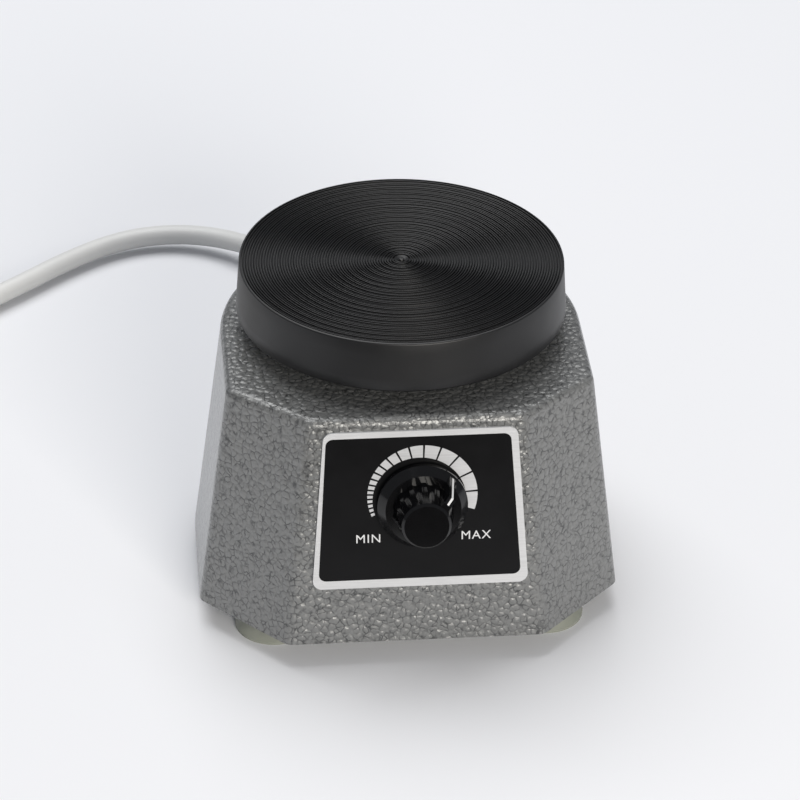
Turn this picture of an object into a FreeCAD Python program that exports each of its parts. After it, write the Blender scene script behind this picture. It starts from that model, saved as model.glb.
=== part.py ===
"""Bench vibrator for plaster moulds: a ribbed round table on a drafted cast housing.

Millimetres, +Z up, +X to the right, -Y towards the user. The origin is on the bench,
under the axis of the table.
"""
import FreeCAD
import Part
import Sketcher
import math
import os
from FreeCAD import Placement, Rotation, Vector

doc = FreeCAD.newDocument("plaster_vibrator")

# Driving dimensions
SIZES = {
    # housing
    "foot_drop": 8.0,
    "deck_height": 81.0,
    "wall": 3.6,
    "deck_thickness": 4.0,
    "front_base": 64.0,
    "front_top": 53.8,
    "side_base": 64.0,
    "side_top": 54.6,
    "front_flat_base": 77.4,
    "front_flat_top": 63.2,
    "side_corner_base": 39.0,
    "side_corner_top": 35.5,
    "facet_round": 4.5,
    "deck_round": 2.0,
    # base plate and its screws
    "plate_inset": 1.0,
    "plate_thickness": 4.0,
    "plate_gap": 0.4,
    "boss_radius": 4.6,
    "boss_height": 26.0,
    "boss_inset": 5.6,
    "side_boss_y": 12.0,
    "rear_boss_x": 24.0,
    "screw_radius": 2.0,
    "screw_head_radius": 3.6,
    "screw_head": 2.4,
    "screw_grip": 9.0,
    "hole_gap": 0.15,
    # suction feet
    "front_foot_x": 41.5,
    "front_foot_y": 41.0,
    "rear_foot_x": 38.0,
    "rear_foot_y": 33.0,
    "foot_radius": 12.0,
    "foot_lip": 1.4,
    "foot_hollow": 4.6,
    "foot_collar_radius": 6.4,
    "foot_neck_radius": 4.0,
    "foot_head_radius": 5.4,
    "foot_head": 2.6,
    # electromagnet
    "core_width": 57.0,
    "stem_room": 7.4,
    "core_stack": 26.0,
    "core_leg": 9.5,
    "bobbin_wall": 1.2,
    "bobbin_gap": 0.3,
    "winding_depth": 7.6,
    "bracket_thickness": 2.0,
    "bracket_foot": 11.0,
    "bracket_length": 52.0,
    "core_bolt_inset": 4.0,
    "bracket_screw_inset": 7.0,
    # armature and spring
    "air_gap": 1.6,
    "armature_height": 9.5,
    "armature_screw_x": 11.0,
    "spring_thickness": 1.5,
    "spring_width": 20.0,
    "spring_length": 98.0,
    "post_x": 42.5,
    "post_radius": 6.5,
    "clamp_length": 13.0,
    "clamp_thickness": 3.0,
    # stem and table
    "stem_radius": 7.0,
    "stem_foot_radius": 16.0,
    "stem_foot": 6.0,
    "deck_hole_radius": 11.0,
    "table_thickness": 8.0,
    "table_hub_radius": 13.0,
    "table_gap": 0.3,
    # rubber mat
    "mat_clearance": 6.4,
    "mat_height": 15.8,
    "mat_radius_bottom": 50.0,
    "mat_flare": 1.0,
    "mat_cover": 4.0,
    "mat_skirt": 3.0,
    "mat_lip": 3.0,
    "mat_lip_height": 2.2,
    "mat_edge": 0.6,
    "mat_rim": 1.6,
    "ridge_pitch": 1.7,
    "ridge_depth": 0.7,
    "nub_radius": 1.4,
    # control panel, set out along the slope of the front face
    "panel_rise": 18.7,
    "panel_shift": 1.2,
    "panel_height": 51.2,
    "panel_width_base": 64.6,
    "panel_width_top": 57.0,
    "panel_thickness": 0.8,
    "panel_corner": 2.8,
    "control_rise": 46.3,
    "control_shift": 1.55,
    "pot_radius": 12.0,
    "pot_depth": 15.0,
    "bush_radius": 4.6,
    "bush_reach": 6.0,
    "shaft_radius": 3.0,
    "shaft_gap": 0.05,
    "shaft_seat": 10.0,
    "washer_radius": 8.0,
    "washer_thickness": 0.8,
    "nut_radius": 7.6,
    "nut_thickness": 2.2,
    # knob
    "knob_standoff": 1.8,
    "knob_radius": 13.4,
    "knob_edge": 1.6,
    "knob_skirt": 4.2,
    "knob_bevel_radius": 11.2,
    "knob_height": 14.7,
    "grip_radius_base": 9.2,
    "grip_radius_cap": 7.3,
    "knob_hollow_radius": 9.6,
    "knob_roof": 1.2,
    "knob_fit": 0.02,
    "flute_count": 14,
    "flute_radius": 1.9,
    "flute_depth": 0.7,
    "flute_fade": 0.12,
    "pointer_width": 2.6,
    "pointer_foot_inset": 0.5,
    "pointer_lean": 1.9,
    "pointer_cut": 2.0,
    "pointer_step": 1.6,
    "pointer_turn": 44.0,
    # control board
    "board_length": 36.0,
    "board_width": 20.0,
    "board_thickness": 1.6,
    "board_y": 36.0,
    "standoff_height": 6.0,
    "standoff_radius": 2.8,
    "board_hole_inset": 3.4,
    "board_screw_radius": 1.25,
    "board_screw_head": 1.6,
    "board_screw_head_radius": 2.4,
    "triac_width": 10.0,
    "triac_depth": 4.4,
    "triac_height": 9.0,
    "triac_tab": 1.3,
    "triac_tab_height": 15.0,
    "triac_lead": 3.0,
    "triac_lead_pitch": 2.54,
    "capacitor_length": 12.0,
    "capacitor_width": 6.0,
    "capacitor_height": 11.0,
    "terminal_length": 10.2,
    "terminal_width": 7.6,
    "terminal_height": 9.0,
    "terminal_well": 1.6,
    # mains lead
    "gland_height": 26.0,
    "gland_neck_radius": 5.0,
    "gland_collar_radius": 7.0,
    "gland_collar": 2.2,
    "gland_length": 22.0,
    "gland_tip_radius": 4.4,
    "cord_diameter": 7.0,
    "coil_inner_radius": 29.4,
    "coil_turn_step": 7.7,
    "coil_turns_each_layer": 2.25,
    "coil_layer_step": 7.7,
    "coil_tail": 20.0,
    "tie_thickness": 1.0,
    "tie_width": 12.0,
    "tie_gap": 0.6,
    "plug_length": 34.0,
    "plug_width": 28.0,
    "plug_height": 25.0,
    "plug_round": 4.0,
    "plug_relief": 25.0,
    "plug_relief_radius": 9.0,
    "pin_length": 17.0,
    "pin_width": 6.4,
    "pin_thickness": 1.6,
    "pin_spread": 7.9,
    "pin_turn": 30.0,
}

# Hand-chosen points of the free lead after its first straight run out of the gland
CORD_POINTS = [
    (-3.0, 125.0, 24.5),
    (-12.0, 144.0, 16.0),
    (-28.5, 161.0, 10.0),
    (-44.0, 179.0, 7.0),
    (-62.5, 187.5, 5.5),
    (-82.5, 185.5, 5.0),
    (-101.5, 173.5, 4.8),
    (-124.5, 152.0, 4.8),
    (-150.0, 131.5, 4.8),
]
CORD_FIRST_RUN = 20.0
CORNER_SHARE = 0.45
# Short steps that turn the deck's edge over
DECK_STEPS = 4


class Size:
    """A dimension: its value now, and the expression that keeps it up to date."""

    def __init__(self, value, text):
        self.value = float(value)
        self.text = text

    def __add__(self, other):
        other = as_size(other)
        return Size(self.value + other.value, f"({self.text} + {other.text})")

    def __radd__(self, other):
        return as_size(other) + self

    def __sub__(self, other):
        other = as_size(other)
        return Size(self.value - other.value, f"({self.text} - {other.text})")

    def __rsub__(self, other):
        return as_size(other) - self

    def __mul__(self, other):
        other = as_size(other)
        return Size(self.value * other.value, f"({self.text} * {other.text})")

    def __rmul__(self, other):
        return as_size(other) * self

    def __truediv__(self, other):
        other = as_size(other)
        return Size(self.value / other.value, f"({self.text} / {other.text})")

    def __neg__(self):
        return Size(-self.value, f"(-1 * {self.text})")


def as_size(number):
    """A plain number as a Size."""
    if isinstance(number, Size):
        return number
    return Size(number, repr(float(number)))


def root(square):
    """Square root of a Size."""
    return Size(math.sqrt(square.value), f"sqrt({square.text})")


def make_sheet():
    """Write the driving dimensions to the sheet and return them as Sizes."""
    sheet = doc.addObject("Spreadsheet::Sheet", "Sizes")
    sizes = {}
    for row, (name, value) in enumerate(SIZES.items(), start=1):
        sheet.set(f"A{row}", name)
        sheet.set(f"B{row}", str(value))
        sheet.setAlias(f"B{row}", name)
        sizes[name] = Size(value, f"Sizes.{name}")
    doc.recompute()
    return sizes


class Named:
    """Driving dimensions as attributes."""

    def __init__(self, sizes):
        self.__dict__.update(sizes)


s = Named(make_sheet())
pieces = {}


# Small helpers

def unit(v):
    return Vector(v).normalize()


def keep(label, thing):
    """Name a finished sub-part."""
    thing.Label = label
    pieces[label] = thing
    return thing


def bind(thing, prop, size):
    """Set a property now and tie it to the sheet."""
    size = as_size(size)
    thing.setExpression(prop, size.text)


def place(thing, at, turn=None, axis=Vector(1, 0, 0)):
    """Put an object at a bound point, turned by a bound angle about an axis."""
    at = [as_size(v) for v in at]
    turn = as_size(turn if turn is not None else 0.0)
    point = Vector(*[v.value for v in at])
    thing.Placement = Placement(point, Rotation(axis, turn.value))
    for letter, value in zip("xyz", at):
        bind(thing, f"Placement.Base.{letter}", value)
    if turn.text != "0.0":
        thing.setExpression("Placement.Rotation.Angle", f"{turn.text} * 1 deg")
    return thing


def box(name, size, low, turn=None, axis=Vector(0, 0, 1)):
    """A bound box from its low corner."""
    thing = doc.addObject("Part::Box", name)
    for prop, value in zip(("Length", "Width", "Height"), size):
        bind(thing, prop, value)
    return place(thing, low, turn, axis)


def cylinder(name, radius, height, at, turn=None, axis=Vector(1, 0, 0)):
    """A bound cylinder from the middle of its base."""
    thing = doc.addObject("Part::Cylinder", name)
    bind(thing, "Radius", radius)
    bind(thing, "Height", height)
    return place(thing, at, turn, axis)


def cut(name, base, tools):
    """Base without the tools."""
    for number, tool in enumerate(tools):
        thing = doc.addObject("Part::Cut", f"{name}_cut_{number}")
        thing.Base = base
        thing.Tool = tool
        base = thing
    return base


def fuse(name, things):
    """One solid of several that touch."""
    thing = doc.addObject("Part::MultiFuse", name)
    thing.Shapes = things
    return thing


def group(name, things):
    """Separate solids that share a node."""
    thing = doc.addObject("Part::Compound", name)
    thing.Links = things
    return thing


def screw(name, radius, length, head_radius, head, at, head_on_top=True):
    """A plain upright screw whose head seats at the given point."""
    x, y, z = at
    if head_on_top:
        shank = cylinder(f"{name}_shank", radius, length, (x, y, z - length))
        cap = cylinder(f"{name}_head", head_radius, head, (x, y, z))
    else:
        shank = cylinder(f"{name}_shank", radius, length, (x, y, z))
        cap = cylinder(f"{name}_head", head_radius, head, (x, y, z - head))
    return fuse(name, [shank, cap])


def sides(x, y):
    """A point and its mirror image across the middle plane."""
    return [(-x, y), (x, y)]


def new_body(name):
    return doc.addObject("PartDesign::Body", name)


def new_sketch(body, name, plane="XY_Plane", lift=None):
    """A sketch on one of the body's own planes, lifted along its normal."""
    sketch = body.newObject("Sketcher::SketchObject", name)
    support = [f for f in body.Origin.OriginFeatures if f.Role == plane][0]
    sketch.AttachmentSupport = [(support, "")]
    sketch.MapMode = "FlatFace"
    if lift is not None:
        sketch.setExpression("AttachmentOffset.Base.z", as_size(lift).text)
    return sketch


def tie_point(sketch, edge, end, x, y):
    """Bind one end of an edge to a point measured from the sketch's origin."""
    for kind, size, axis in (("DistanceX", as_size(x), -2), ("DistanceY", as_size(y), -1)):
        if abs(size.value) < 1e-9:
            sketch.addConstraint(Sketcher.Constraint("PointOnObject", edge, end, axis))
            continue
        if size.value > 0:
            rule = Sketcher.Constraint(kind, -1, 1, edge, end, size.value)
        else:
            size = -size
            rule = Sketcher.Constraint(kind, edge, end, -1, 1, size.value)
        number = sketch.addConstraint(rule)
        sketch.setExpression(f"Constraints[{number}]", size.text)


def draw(sketch, corners):
    """Close a bound outline. A corner marked "arc" starts a half circle about the X axis."""
    count = len(corners)
    flat = [Vector(as_size(c[0]).value, as_size(c[1]).value, 0) for c in corners]
    for i, corner in enumerate(corners):
        start, end = flat[i], flat[(i + 1) % count]
        if len(corner) == 3:
            middle = (start + end) * 0.5
            circle = Part.Circle(middle, Vector(0, 0, 1), (end - start).Length / 2)
            sketch.addGeometry(Part.ArcOfCircle(circle, 0, math.pi), False)
        else:
            sketch.addGeometry(Part.LineSegment(start, end), False)
    for i in range(count):
        sketch.addConstraint(Sketcher.Constraint("Coincident", i, 2, (i + 1) % count, 1))
    for i, corner in enumerate(corners):
        tie_point(sketch, i, 1, corner[0], corner[1])
        if len(corner) == 3:
            sketch.addConstraint(Sketcher.Constraint("PointOnObject", i, 3, -1))


def draw_circles(sketch, radius, centres):
    """Bound circles at bound centres."""
    for i, (x, y) in enumerate(centres):
        point = Vector(as_size(x).value, as_size(y).value, 0)
        sketch.addGeometry(Part.Circle(point, Vector(0, 0, 1), as_size(radius).value), False)
        tie_point(sketch, i, 3, x, y)
        number = sketch.addConstraint(Sketcher.Constraint("Radius", i, as_size(radius).value))
        sketch.setExpression(f"Constraints[{number}]", as_size(radius).text)


def revolve(body, name, profile):
    """Turn a closed profile of (radius, height) corners round the body's Z axis."""
    sketch = new_sketch(body, f"{name}_profile", "XZ_Plane")
    draw(sketch, profile)
    feature = body.newObject("PartDesign::Revolution", name)
    feature.Profile = sketch
    feature.ReferenceAxis = (sketch, ["V_Axis"])
    feature.Angle = 360
    return feature


def extrude(body, name, sketch, length, kind="Pad", both_ways=False, backwards=False):
    """Pad or Pocket a sketch by a bound length."""
    feature = body.newObject(f"PartDesign::{kind}", name)
    feature.Profile = sketch
    if both_ways:
        feature.SideType = "Symmetric"
    feature.Reversed = backwards
    bind(feature, "Length", length)
    return feature


def loft(body, name, sketches, kind="AdditiveLoft"):
    """A ruled loft through sketches."""
    feature = body.newObject(f"PartDesign::{kind}", name)
    feature.Profile = sketches[0]
    feature.Sections = sketches[1:]
    feature.Ruled = True
    return feature


def round_edges(body, name, base, radius, wanted):
    """Fillet those edges of a feature that a test picks."""
    doc.recompute()
    edges = base.Shape.Edges
    names = [f"Edge{i + 1}" for i, edge in enumerate(edges) if wanted(edge)]
    feature = body.newObject("PartDesign::Fillet", name)
    feature.Base = (base, names)
    bind(feature, "Radius", radius)
    return feature


# Levels and places that several pieces share

def at_height(base, top, z):
    """A plan size of the drafted housing at a height."""
    return base + (top - base) * (z - s.foot_drop) / (s.deck_height - s.foot_drop)


plate_low = s.foot_drop + s.plate_inset
plate_top = plate_low + s.plate_thickness
cavity_top = s.deck_height - s.deck_thickness
spring_top = cavity_top - s.stem_room - s.stem_foot
armature_top = spring_top - s.spring_thickness
armature_low = armature_top - s.armature_height
core_top = armature_low - s.air_gap
mat_bottom = s.deck_height + s.mat_clearance
mat_top = mat_bottom + s.mat_height
mat_radius_top = s.mat_radius_bottom - s.mat_flare
table_top = mat_top - s.mat_cover
table_low = table_top - s.table_thickness

# Front face: how it leans, and its own axes
face_rise = s.deck_height - s.foot_drop
face_run = s.front_base - s.front_top
face_slant = root(face_rise * face_rise + face_run * face_run)
face_cos = face_rise / face_slant
face_sin = face_run / face_slant
face_turn = Size(math.degrees(math.atan2(face_rise.value, face_run.value)),
                 f"(atan({face_rise.text} / {face_run.text}) / 1 deg)")

# Rear wall: the same for the round back
rear_run = s.side_base - s.side_top
rear_slant = root(face_rise * face_rise + rear_run * rear_run)
rear_cos = face_rise / rear_slant
rear_sin = rear_run / rear_slant
rear_turn = Size(-math.degrees(math.atan2(face_rise.value, rear_run.value)),
                 f"(-1 * atan({face_rise.text} / {rear_run.text}) / 1 deg)")
rear_radius = at_height(s.side_base, s.side_top, s.gland_height)


def face_point(up, out):
    """A point in the control's upright plane, by rise along the front face and reach out of it."""
    y = up * face_sin - s.front_base - out * face_cos
    z = s.foot_drop + up * face_cos + out * face_sin
    return (s.control_shift, y, z)


def rear_point(out):
    """A point on the axis of the cord gland, by reach out of the rear wall."""
    return (0.0, rear_radius + out * rear_cos, s.gland_height + out * rear_sin)


boss_reach = s.side_base - s.wall - s.boss_inset
rear_boss_y = root(boss_reach * boss_reach - s.rear_boss_x * s.rear_boss_x)
boss_points = sides(boss_reach, -s.side_boss_y) + sides(s.rear_boss_x, rear_boss_y)
wall_across = s.wall * face_cos


# Housing

def plan(z, inset):
    """Corners of the housing's plan at a height, drawn in by an even inset."""
    front = at_height(s.front_base, s.front_top, z)
    side = at_height(s.side_base, s.side_top, z)
    flat = at_height(s.front_flat_base, s.front_flat_top, z) / 2
    corner = at_height(s.side_corner_base, s.side_corner_top, z)
    across = side - flat
    along = front - corner
    facet = root(across * across + along * along)
    flat = flat - inset * (facet - across) / along
    corner = corner - inset * (facet - along) / across
    front = front - inset
    side = side - inset
    return [(side, 0.0, "arc"), (-side, 0.0), (-side, -corner), (-flat, -front),
            (flat, -front), (side, -corner)]


def draw_plan(sketch, corners, rounding):
    """The housing's plan with its four front corners rounded by tangent arcs."""
    flat = [Vector(as_size(c[0]).value, as_size(c[1]).value, 0) for c in corners]
    rear, bends = flat[:2], flat[2:]
    circle = Part.Circle(Vector(0, 0, 0), Vector(0, 0, 1), rear[0].x)
    sketch.addGeometry(Part.ArcOfCircle(circle, 0, math.pi), False)
    last = rear[1]
    for i, bend in enumerate(bends):
        before = unit(bend - flat[i + 1])
        after = unit(flat[(i + 3) % len(flat)] - bend)
        turn = before.getAngle(after)
        reach = rounding.value * math.tan(turn / 2)
        start = bend - before * reach
        side = Vector(-before.y, before.x, 0)
        begin = math.atan2(-side.y, -side.x)
        sketch.addGeometry(Part.LineSegment(last, start), False)
        ring = Part.Circle(start + side * rounding.value, Vector(0, 0, 1), rounding.value)
        sketch.addGeometry(Part.ArcOfCircle(ring, begin, begin + turn), False)
        last = bend + after * reach
    sketch.addGeometry(Part.LineSegment(last, rear[0]), False)
    for bend in bends:
        sketch.addGeometry(Part.Point(bend), True)
    sketch.addConstraint(Sketcher.Constraint("Coincident", 0, 2, 1, 1))
    sketch.addConstraint(Sketcher.Constraint("Coincident", 9, 2, 0, 1))
    sketch.addConstraint(Sketcher.Constraint("PointOnObject", 0, 3, -1))
    tie_point(sketch, 0, 1, corners[0][0], corners[0][1])
    tie_point(sketch, 1, 1, corners[1][0], corners[1][1])
    for i, corner in enumerate(corners[2:]):
        line, arc, following, point = 1 + 2 * i, 2 + 2 * i, 3 + 2 * i, 10 + i
        tie_point(sketch, point, 1, corner[0], corner[1])
        sketch.addConstraint(Sketcher.Constraint("PointOnObject", point, 1, line))
        sketch.addConstraint(Sketcher.Constraint("PointOnObject", point, 1, following))
        sketch.addConstraint(Sketcher.Constraint("Tangent", line, 2, arc, 1))
        sketch.addConstraint(Sketcher.Constraint("Tangent", arc, 2, following, 1))
        number = sketch.addConstraint(Sketcher.Constraint("Radius", arc, rounding.value))
        sketch.setExpression(f"Constraints[{number}]", rounding.text)


def outer_loft(body):
    """Drafted walls, then a deck edge turned over in short steps."""
    levels = [(s.foot_drop, as_size(0.0))]
    for step in range(DECK_STEPS + 1):
        angle = math.pi / 2 * step / DECK_STEPS
        z = s.deck_height - s.deck_round * (1 - math.sin(angle))
        levels.append((z, s.deck_round * (1 - math.cos(angle))))
    sketches = []
    for i, (z, inset) in enumerate(levels):
        sketch = new_sketch(body, f"outer_{i}", lift=z)
        draw_plan(sketch, plan(z, inset), s.facet_round - inset)
        sketches.append(sketch)
    return loft(body, "outer", sketches)


def cavity_loft(body):
    """The hollow inside the walls, open below."""
    sketches = []
    for end, z in (("low", s.foot_drop), ("high", cavity_top)):
        sketch = new_sketch(body, f"cavity_{end}", lift=z)
        draw(sketch, plan(z, s.wall))
        sketches.append(sketch)
    return loft(body, "cavity", sketches, "SubtractiveLoft")


def make_housing():
    body = new_body("housing_body")
    outer_loft(body)
    cavity_loft(body)
    bosses = new_sketch(body, "bosses", lift=plate_top)
    draw_circles(bosses, s.boss_radius, boss_points)
    extrude(body, "boss_pads", bosses, s.boss_height)
    threads = new_sketch(body, "boss_holes", lift=plate_top)
    draw_circles(threads, s.screw_radius, boss_points)
    extrude(body, "boss_threads", threads, s.screw_grip, "Pocket", backwards=True)
    stem_hole = cylinder("stem_hole", s.deck_hole_radius, s.deck_thickness * 3,
                         (0, 0, cavity_top - s.deck_thickness))
    bush_hole = cylinder("bush_hole", s.bush_radius + s.hole_gap, s.wall * 4,
                         face_point(s.control_rise, -2 * s.wall), face_turn)
    gland_hole = cylinder("gland_hole", s.gland_neck_radius + s.hole_gap, s.wall * 4,
                          rear_point(-2 * s.wall), rear_turn)
    keep("housing_shell", cut("housing", body, [stem_hole, bush_hole, gland_hole]))


def make_base_plate():
    body = new_body("base_plate_body")
    sketch = new_sketch(body, "plate_outline", lift=plate_low)
    draw(sketch, plan(plate_top, s.wall + s.plate_gap))
    extrude(body, "plate", sketch, s.plate_thickness)
    holes = new_sketch(body, "plate_screw_holes", lift=plate_low)
    draw_circles(holes, s.screw_radius + s.hole_gap, boss_points + post_points)
    extrude(body, "plate_screw_cut", holes, s.plate_thickness, "Pocket", backwards=True)
    necks = new_sketch(body, "plate_foot_holes", lift=plate_low)
    draw_circles(necks, s.foot_neck_radius + s.hole_gap, list(foot_points.values()))
    extrude(body, "plate_foot_cut", necks, s.plate_thickness, "Pocket", backwards=True)
    threads = new_sketch(body, "plate_bracket_holes", lift=plate_low)
    draw_circles(threads, s.screw_radius, bracket_points)
    extrude(body, "plate_bracket_cut", threads, s.plate_thickness, "Pocket", backwards=True)
    keep("base_plate", body)
    screws = [screw(f"base_screw_{i}", s.screw_radius, s.plate_thickness + s.screw_grip,
                    s.screw_head_radius, s.screw_head, (x, y, plate_low), False)
              for i, (x, y) in enumerate(boss_points)]
    keep("base_screws", group("base_screw_group", screws))


# Suction feet

foot_points = {
    "foot_front_left": (-s.front_foot_x, -s.front_foot_y),
    "foot_front_right": (s.front_foot_x, -s.front_foot_y),
    "foot_rear_left": (-s.rear_foot_x, s.rear_foot_y),
    "foot_rear_right": (s.rear_foot_x, s.rear_foot_y),
}


def make_feet():
    """Clear suction cups, pushed through the base plate by their mushroom heads."""
    waist = plate_low * 0.55
    for label, (x, y) in foot_points.items():
        body = new_body(f"{label}_body")
        revolve(body, f"{label}_turn", [
            (0.0, s.foot_hollow),
            (s.foot_radius * 0.5, s.foot_hollow * 0.8),
            (s.foot_radius - s.foot_lip, 0.0),
            (s.foot_radius, 0.0),
            (s.foot_radius, s.foot_lip * 0.6),
            (s.foot_radius * 0.8, waist * 0.75),
            (s.foot_collar_radius, waist * 1.2),
            (s.foot_collar_radius, plate_low),
            (s.foot_neck_radius, plate_low),
            (s.foot_neck_radius, plate_top),
            (s.foot_head_radius, plate_top),
            (s.foot_neck_radius * 0.7, plate_top + s.foot_head),
            (0.0, plate_top + s.foot_head),
        ])
        place(body, (x, y, 0.0))
        keep(label, body)


# Electromagnet

bracket_y = s.core_stack / 2 + s.bracket_thickness + s.bracket_foot * 0.55
core_bolt_x = s.bracket_length / 2 - s.core_bolt_inset
bracket_screw_x = s.bracket_length / 2 - s.bracket_screw_inset
core_bolt_z = plate_top + s.bracket_thickness + s.screw_head_radius + s.plate_gap
bracket_points = sides(bracket_screw_x, bracket_y) + sides(bracket_screw_x, -bracket_y)


def make_magnet():
    """E-shaped iron stack with its legs up, a bobbin on the middle leg and the winding."""
    half = s.core_width / 2
    inner = half - s.core_leg
    floor = plate_top + s.core_leg
    body = new_body("core_body")
    sketch = new_sketch(body, "core_outline", "XZ_Plane")
    draw(sketch, [
        (-half, plate_top), (half, plate_top), (half, core_top), (inner, core_top),
        (inner, floor), (s.core_leg, floor), (s.core_leg, core_top), (-s.core_leg, core_top),
        (-s.core_leg, floor), (-inner, floor), (-inner, core_top), (-half, core_top),
    ])
    extrude(body, "core_pad", sketch, s.core_stack, both_ways=True)
    reach = s.core_stack + 4 * s.bracket_thickness
    holes = [cylinder(f"core_hole_{i}", s.screw_radius + s.hole_gap, reach,
                      (x, reach / 2, core_bolt_z), 90.0) for i, (x, _) in enumerate(sides(core_bolt_x, 0.0))]
    keep("magnet_core", cut("core", body, holes))

    low = floor + s.bobbin_gap
    tall = core_top - low - s.bobbin_gap
    tube_x = s.core_leg + s.bobbin_gap
    tube_y = s.core_stack / 2 + s.bobbin_gap
    wind_x = tube_x + s.bobbin_wall
    wind_y = tube_y + s.bobbin_wall
    edge_x = wind_x + s.winding_depth
    edge_y = wind_y + s.winding_depth

    def block(name, x, y, z, height):
        return box(name, (x * 2, y * 2, height), (-x, -y, z))

    spool = fuse("bobbin_spool", [
        block("bobbin_tube", wind_x, wind_y, low, tall),
        block("bobbin_flange_low", edge_x, edge_y, low, s.bobbin_wall),
        block("bobbin_flange_high", edge_x, edge_y, low + tall - s.bobbin_wall, s.bobbin_wall),
    ])
    keep("coil_bobbin", cut("bobbin", spool, [block("bobbin_bore", tube_x, tube_y, low - 1, tall + 2)]))
    wound = tall - 2 * s.bobbin_wall
    turns = block("winding_block", edge_x - s.bobbin_wall, edge_y - s.bobbin_wall, low + s.bobbin_wall, wound)
    keep("coil_winding", cut("winding", turns, [block("winding_bore", wind_x, wind_y, low, tall)]))


def make_brackets():
    """Two steel angles that bolt through the yoke and screw down to the base plate."""
    half = s.bracket_length / 2
    angles = []
    for side, name in ((-1, "front"), (1, "rear")):
        body = new_body(f"bracket_{name}_body")
        sketch = new_sketch(body, f"bracket_{name}_outline", "YZ_Plane")
        face = side * (s.core_stack / 2)
        back = side * (s.core_stack / 2 + s.bracket_thickness)
        toe = side * (s.core_stack / 2 + s.bracket_thickness + s.bracket_foot)
        shelf = plate_top + s.bracket_thickness
        draw(sketch, [(face, plate_top), (toe, plate_top), (toe, shelf), (back, shelf),
                      (back, plate_top + s.core_leg), (face, plate_top + s.core_leg)])
        extrude(body, f"bracket_{name}_pad", sketch, half * 2, both_ways=True)
        through = [cylinder(f"bracket_{name}_bolt_hole_{i}", s.screw_radius + s.hole_gap, s.core_stack,
                            (x, face + s.core_stack / 2, core_bolt_z), 90.0)
                   for i, (x, _) in enumerate(sides(core_bolt_x, 0.0))]
        down = [cylinder(f"bracket_{name}_screw_hole_{i}", s.screw_radius + s.hole_gap, s.core_leg,
                         (x, side * bracket_y, plate_top - s.bracket_thickness))
                for i, (x, _) in enumerate(sides(bracket_screw_x, 0.0))]
        angles.append(cut(f"bracket_{name}", body, through + down))
    keep("core_brackets", group("bracket_group", angles))

    face = s.core_stack / 2 + s.bracket_thickness
    bolts = []
    for i, (x, _) in enumerate(sides(core_bolt_x, 0.0)):
        shank = cylinder(f"core_bolt_{i}_shank", s.screw_radius, face * 2 + s.screw_head * 2,
                         (x, face + s.screw_head, core_bolt_z), 90.0)
        head = cylinder(f"core_bolt_{i}_head", s.screw_head_radius, s.screw_head,
                        (x, -face, core_bolt_z), 90.0)
        nut = cylinder(f"core_bolt_{i}_nut", s.screw_head_radius, s.screw_head,
                       (x, face + s.screw_head, core_bolt_z), 90.0)
        bolts.append(fuse(f"core_bolt_{i}", [shank, head, nut]))
    keep("core_bolts", group("core_bolt_group", bolts))
    seat = plate_top + s.bracket_thickness
    screws = [screw(f"bracket_screw_{i}", s.screw_radius, s.bracket_thickness + s.plate_thickness,
                    s.screw_head_radius, s.screw_head, (x, y, seat))
              for i, (x, y) in enumerate(bracket_points)]
    keep("bracket_screws", group("bracket_screw_group", screws))


# Spring and its posts

post_points = sides(s.post_x, 0.0)


def make_spring():
    """A leaf spring clamped on two posts; the armature and stem are bolted to its middle."""
    tall = armature_top - plate_top
    posts = []
    for i, (x, y) in enumerate(post_points):
        post = cylinder(f"post_{i}_bar", s.post_radius, tall, (x, y, plate_top))
        foot_thread = cylinder(f"post_{i}_low_thread", s.screw_radius, s.screw_grip, (x, y, plate_top))
        head_thread = cylinder(f"post_{i}_high_thread", s.screw_radius, s.screw_grip,
                               (x, y, armature_top - s.screw_grip))
        posts.append(cut(f"post_{i}", post, [foot_thread, head_thread]))
    keep("spring_posts", group("post_group", posts))
    screws = [screw(f"post_screw_{i}", s.screw_radius, s.plate_thickness + s.screw_grip,
                    s.screw_head_radius, s.screw_head, (x, y, plate_low), False)
              for i, (x, y) in enumerate(post_points)]
    keep("post_screws", group("post_screw_group", screws))

    leaf = box("spring_leaf", (s.spring_length, s.spring_width, s.spring_thickness),
               (-s.spring_length / 2, -s.spring_width / 2, armature_top))
    holes = [cylinder(f"spring_hole_{i}", s.screw_radius + s.hole_gap, s.spring_thickness * 3,
                      (x, y, armature_top - s.spring_thickness))
             for i, (x, y) in enumerate(post_points + armature_points)]
    keep("leaf_spring", cut("spring", leaf, holes))

    clamps = []
    for i, (x, y) in enumerate(post_points):
        bar = box(f"clamp_{i}_bar", (s.clamp_length, s.spring_width, s.clamp_thickness),
                  (x - s.clamp_length / 2, -s.spring_width / 2, spring_top))
        hole = cylinder(f"clamp_{i}_hole", s.screw_radius + s.hole_gap, s.clamp_thickness * 3,
                        (x, y, spring_top - s.clamp_thickness))
        clamps.append(cut(f"clamp_{i}", bar, [hole]))
    keep("spring_clamps", group("clamp_group", clamps))
    seat = spring_top + s.clamp_thickness
    screws = [screw(f"spring_screw_{i}", s.screw_radius,
                    s.clamp_thickness + s.spring_thickness + s.screw_grip,
                    s.screw_head_radius, s.screw_head, (x, y, seat))
              for i, (x, y) in enumerate(post_points)]
    keep("spring_screws", group("spring_screw_group", screws))


# Armature, stem and table

armature_points = sides(s.armature_screw_x, 0.0)


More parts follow.
